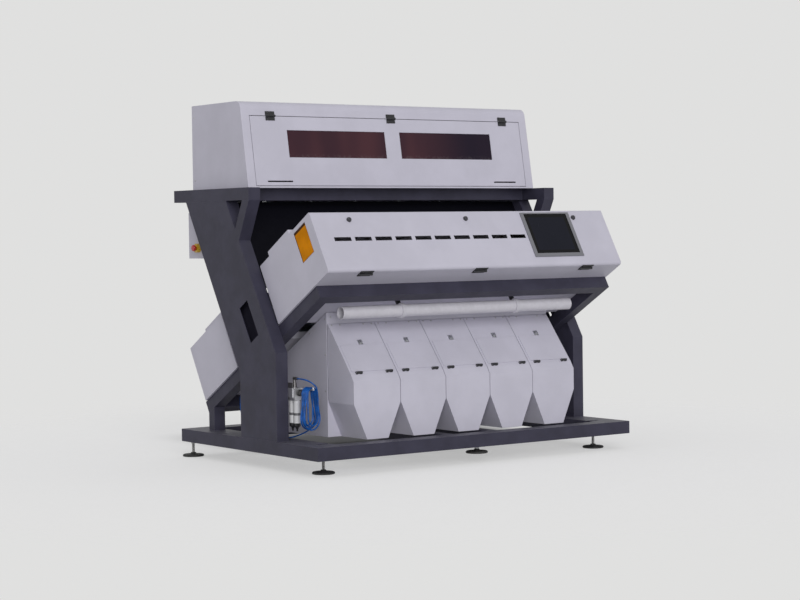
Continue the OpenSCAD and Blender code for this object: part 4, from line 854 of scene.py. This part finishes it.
class SORTER_OT_air_set(bpy.types.Operator):
    """Turns the ribbed regulator knob and the two bowls of the air set"""
    bl_idname = "sorter.air_set"
    bl_label = "Air set"

    def execute(self, context):
        points, faces = lathe(np.array(KNOB) * MM, 96, KNOB_RIBS, KNOB_RIB_DEPTH * MM)
        knob = piece("regulator_knob", stood(points, -Y_AXIS, on_floor(AIR_AT + KNOB_FOOT)), faces,
                     "frl_knob", "black_plastic", moulded("knob_plastic", (0.014, 0.014, 0.016), 0.38))
        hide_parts("frl_knob")
        points, faces = lathe(np.array(BOWL) * MM, 40)
        places = [(Z_AXIS, on_floor(AIR_AT + (AIR_X, y, BOWL_FOOT))) for y in BOWLS_Y]
        bowls = piece("air_set_bowls", *repeated(points, faces, places), "frame", "white_plastic", bowl_finish())
        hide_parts("frl_bowls")
        return {"FINISHED"}


class SORTER_OT_screws(bpy.types.Operator):
    """Puts the screw heads on hinge leaves, hoppers, outlet housing, hood and control box"""
    bl_idname = "sorter.screws"
    bl_label = "Screw heads"

    def execute(self, context):
        zinc = brushed("screw_zinc", (0.46, 0.46, 0.47), (1.0, 1.0, 1.0), 0.34)
        black = moulded("screw_black", (0.03, 0.03, 0.032), 0.4)
        fixed, door, cover, sheet = [], [], [], []
        for x in HOOD_HINGES_X:
            for dx in (-HOOD_SCREW_X, HOOD_SCREW_X):
                fixed.append((HOOD_OUT, on_hood(x + dx, -LEAF_T, HOOD_SEAM_S + LEAF_SCREW)))
                door.append((HOOD_OUT, on_hood(x + dx, -LEAF_T, HOOD_SEAM_S - LEAF_SCREW)))
        for x in COVER_HINGES_X:
            for dx in (-COVER_SCREW_X, COVER_SCREW_X):
                fixed.append((-BOX_U_AXIS, on_box(x + dx, COVER_HINGE_N + LEAF_SCREW, BOX_U - LEAF_T)))
                cover.append((-BOX_U_AXIS, on_box(x + dx, COVER_HINGE_N - LEAF_SCREW, BOX_U - LEAF_T)))
        for i in range(CHUTES):
            for x in HOPPER_SCREWS_X:
                sheet.append((SLOPE_OUT, on_slope(i, x, 0.0, HOPPER_SCREW_S)))
                sheet.append((-Y_AXIS, on_floor((chute_x(i) + x, *HOUSING_FRONT))))
        for side in (-1.0, 1.0):
            sheet += [(side * X_AXIS, on_floor((side * HOUSING_HALF, *place))) for place in HOUSING_SIDE]
            sheet += [(side * X_AXIS, on_floor((side * HOOD_HALF, *place))) for place in HOOD_SIDE]
            sheet += [(Y_AXIS, on_floor((side * x, *place))) for x in REAR_SCREWS_X for place in REAR_SCREWS]
        self.heads("leaf_screws", fixed, LEAF_SCREW_R, "frame", "black_plastic", black)
        self.heads("hood_door_screws", door, LEAF_SCREW_R, "hood_door", "black_plastic", black)
        self.heads("front_cover_screws", cover, LEAF_SCREW_R, "front_cover", "black_plastic", black)
        self.heads("sheet_screws", sheet, SHEET_SCREW_R, "frame", "steel", zinc)
        return {"FINISHED"}

    def heads(self, name, places, radius, body, slot, material):
        """Pan heads: a low dome turned about its axis, with a round socket sunk in the middle."""
        r, h, sunk = radius * MM, radius * HEAD_HEIGHT * MM, -HEAD_SUNK * MM
        profile = [(0.0, sunk), (r, sunk)] + [(a * r, b * h) for a, b in HEAD]
        points, faces = lathe(profile, 10)
        piece(name, *repeated(points, faces, places), body, slot, material)


class SORTER_OT_welds(bpy.types.Operator):
    """Lays weld beads round the legs and the rear posts on the base"""
    bl_idname = "sorter.welds"
    bl_label = "Weld beads"

    def execute(self, context):
        points, faces = [], []
        for side in (-1.0, 1.0):
            for (x, y), size in WELDED:
                bead, quads = self.bead((side * x, y), size)
                start = sum(map(len, points))
                faces += [[v + start for v in quad] for quad in quads]
                points.append(bead)
        piece("weld_beads", np.vstack(points), faces, "frame", "frame_paint", bpy.data.materials["frame_coat"])
        return {"FINISHED"}

    def bead(self, middle, size):
        """A bead round a rectangle on the base: radius + ripple sin(run), at (cos t, sin t) reaching to its sides."""
        t = np.linspace(0.0, 1.0, 480, endpoint=False) * 2 * math.pi
        reach = 1.0 / np.maximum(np.abs(np.cos(t)), np.abs(np.sin(t)))
        x = middle[0] + np.cos(t) * reach * size[0] / 2
        y = middle[1] + np.sin(t) * reach * size[1] / 2
        path = on_floor(np.stack((x, y, np.full_like(x, BASE_TOP)), -1))
        run = np.concatenate(([0.0], np.cumsum(np.linalg.norm(np.diff(path, axis=0), axis=1))))
        return swept(path, BEAD_R + BEAD_RIPPLE * np.sin(run * BEAD_WAVE), 6)


class SORTER_OT_frame_finish(bpy.types.Operator):
    """Paints the steel frame, and the inner sheets near-black as painted shade"""
    bl_idname = "sorter.frame_finish"
    bl_label = "Frame finish"

    def execute(self, context):
        finish = context.scene.sorter_finish
        wear(frame_coat(tuple(finish.frame_coat)),
             "base_frame", "uprights", "top_frame", "cradle_tubes", "rear_posts", "chute_bars")
        wear(black_coat_and_painted_shade(), "light_shield")
        for name in ("corner_feet", "middle_feet"):
            wear(foot_finish(name + "_finish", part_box(name)[0][2]), name)
        return {"FINISHED"}


class SORTER_OT_panel_finish(bpy.types.Operator):
    """Paints hood, boxes, hoppers and their doors, whose riveted hinge leaves stay black"""
    bl_idname = "sorter.panel_finish"
    bl_label = "Panel finish"

    def execute(self, context):
        colour = tuple(context.scene.sorter_finish.panel_coat)
        wear(panel_coat("panel_coat", colour),
             "hood_shell", "front_box", "rear_box", "outlet_housing", "outlet_hoppers", "control_box")
        leaf = leaf_mask(HOOD_OUT, on_hood(0, 0, 0))
        wear(panel_coat("hood_door_coat", colour, leaf), "hood_door")
        leaf = leaf_mask(-BOX_U_AXIS, on_box(0, 0, BOX_U))
        wear(panel_coat("front_cover_coat", colour, leaf), "front_cover")
        leaf = leaf_mask(-BOX_N_AXIS, on_box(0, LID_N, 0))
        wear(panel_coat("rear_lid_coat", colour, leaf), "rear_lid")
        leaf = leaf_mask(-SLOPE_UP, on_slope(0, 0, 0, HATCH_S))
        wear(panel_coat("hatch_coat", colour, leaf), *numbered("hopper_door", CHUTES))
        return {"FINISHED"}


class SORTER_OT_fitting_finish(bpy.types.Operator):
    """Gives panes, metal parts, plastics and the inner parts their finishes"""
    bl_idname = "sorter.fitting_finish"
    bl_label = "Fittings finish"

    def execute(self, context):
        finish = context.scene.sorter_finish
        wear(tinted_pane(tuple(finish.tinted)), "hood_windows")
        wear(amber_pane(tuple(finish.amber)), "end_windows")
        wear(display_glass(), "screen_glass")
        wear(brushed("bezel_metal", (0.25, 0.25, 0.275), (0.1, 1.0, 1.0), 0.45), "screen_bezel")
        wear(clear_glass(), "sight_glasses")
        wear(brushed("sheet_steel", (0.55, 0.56, 0.58), ACROSS, 0.32),
             "feed_hopper", "chutes", "hopper_catches", "wiper_rails", *numbered("feed_tray", CHUTES))
        wear(brushed("pin_steel", (0.36, 0.36, 0.37), ACROSS, 0.36), "hinge_pins", "foot_nuts")
        wear(brushed("manifold_metal", (0.62, 0.63, 0.65), ACROSS, 0.36), "ejector_manifold")
        wear(air_set_metal(), "frl_body")
        wear(moulded("hinge_plastic", HINGE_BLACK, 0.44), "hinge_leaves")
        wear(moulded("lock_metal", (0.055, 0.054, 0.064), 0.4), *numbered("cover_lock", LOCKS))
        wear(moulded("camera_plastic", (0.024, 0.025, 0.03), 0.4),
             "cameras", "front_wiper", "rear_wiper", "ejector_valves")
        wear(moulded("drive_paint", (0.09, 0.095, 0.11), 0.5, 500.0), "tray_vibrators")
        wear(moulded("pipe_plastic", PIPE_PALE, 0.34, 700.0, 0.15), "suction_pipe")
        wear(hanger_finish(PIPE_PALE), "pipe_hangers")
        wear(moulded("lamp_plastic", (0.72, 0.72, 0.73), 0.3), "lamp_bars", "background_plates")
        wear(moulded("stop_yellow", (0.66, 0.42, 0.02), 0.34, coat=0.2), "estop_base")
        wear(moulded("stop_red", (0.48, 0.012, 0.012), 0.28, coat=0.3), "estop_button")
        return {"FINISHED"}


class SORTER_PT_sidebar(bpy.types.Panel):
    """Lists the operators in the order in which they run"""
    bl_idname = "SORTER_PT_sidebar"
    bl_label = "Colour sorter"
    bl_space_type = "VIEW_3D"
    bl_region_type = "UI"
    bl_category = "Sorter"

    def draw(self, context):
        for kind in OPERATORS:
            self.layout.operator(kind.bl_idname)


GROUPS = {"sorter_stage": SorterStage, "sorter_hose": SorterHose, "sorter_finish": SorterFinish}
OPERATORS = (SORTER_OT_stage, SORTER_OT_hose, SORTER_OT_frame_finish, SORTER_OT_panel_finish, SORTER_OT_fitting_finish,
             SORTER_OT_air_set, SORTER_OT_screws, SORTER_OT_welds)


def register():
    """Adds the settings, the operators and the panel."""
    for name, kind in GROUPS.items():
        bpy.utils.register_class(kind)
        setattr(bpy.types.Scene, name, bpy.props.PointerProperty(type=kind))
    for kind in (*OPERATORS, SORTER_PT_sidebar):
        bpy.utils.register_class(kind)


def unregister():
    """Takes them out again, in reverse."""
    for kind in reversed((*OPERATORS, SORTER_PT_sidebar)):
        bpy.utils.unregister_class(kind)
    for name, kind in reversed(GROUPS.items()):
        delattr(bpy.types.Scene, name)
        bpy.utils.unregister_class(kind)


def main():
    """Registers the classes and runs every operator in order."""
    register()
    for kind in OPERATORS:
        group, name = kind.bl_idname.split(".")
        getattr(getattr(bpy.ops, group), name)()


if __name__ == "__main__":
    main()
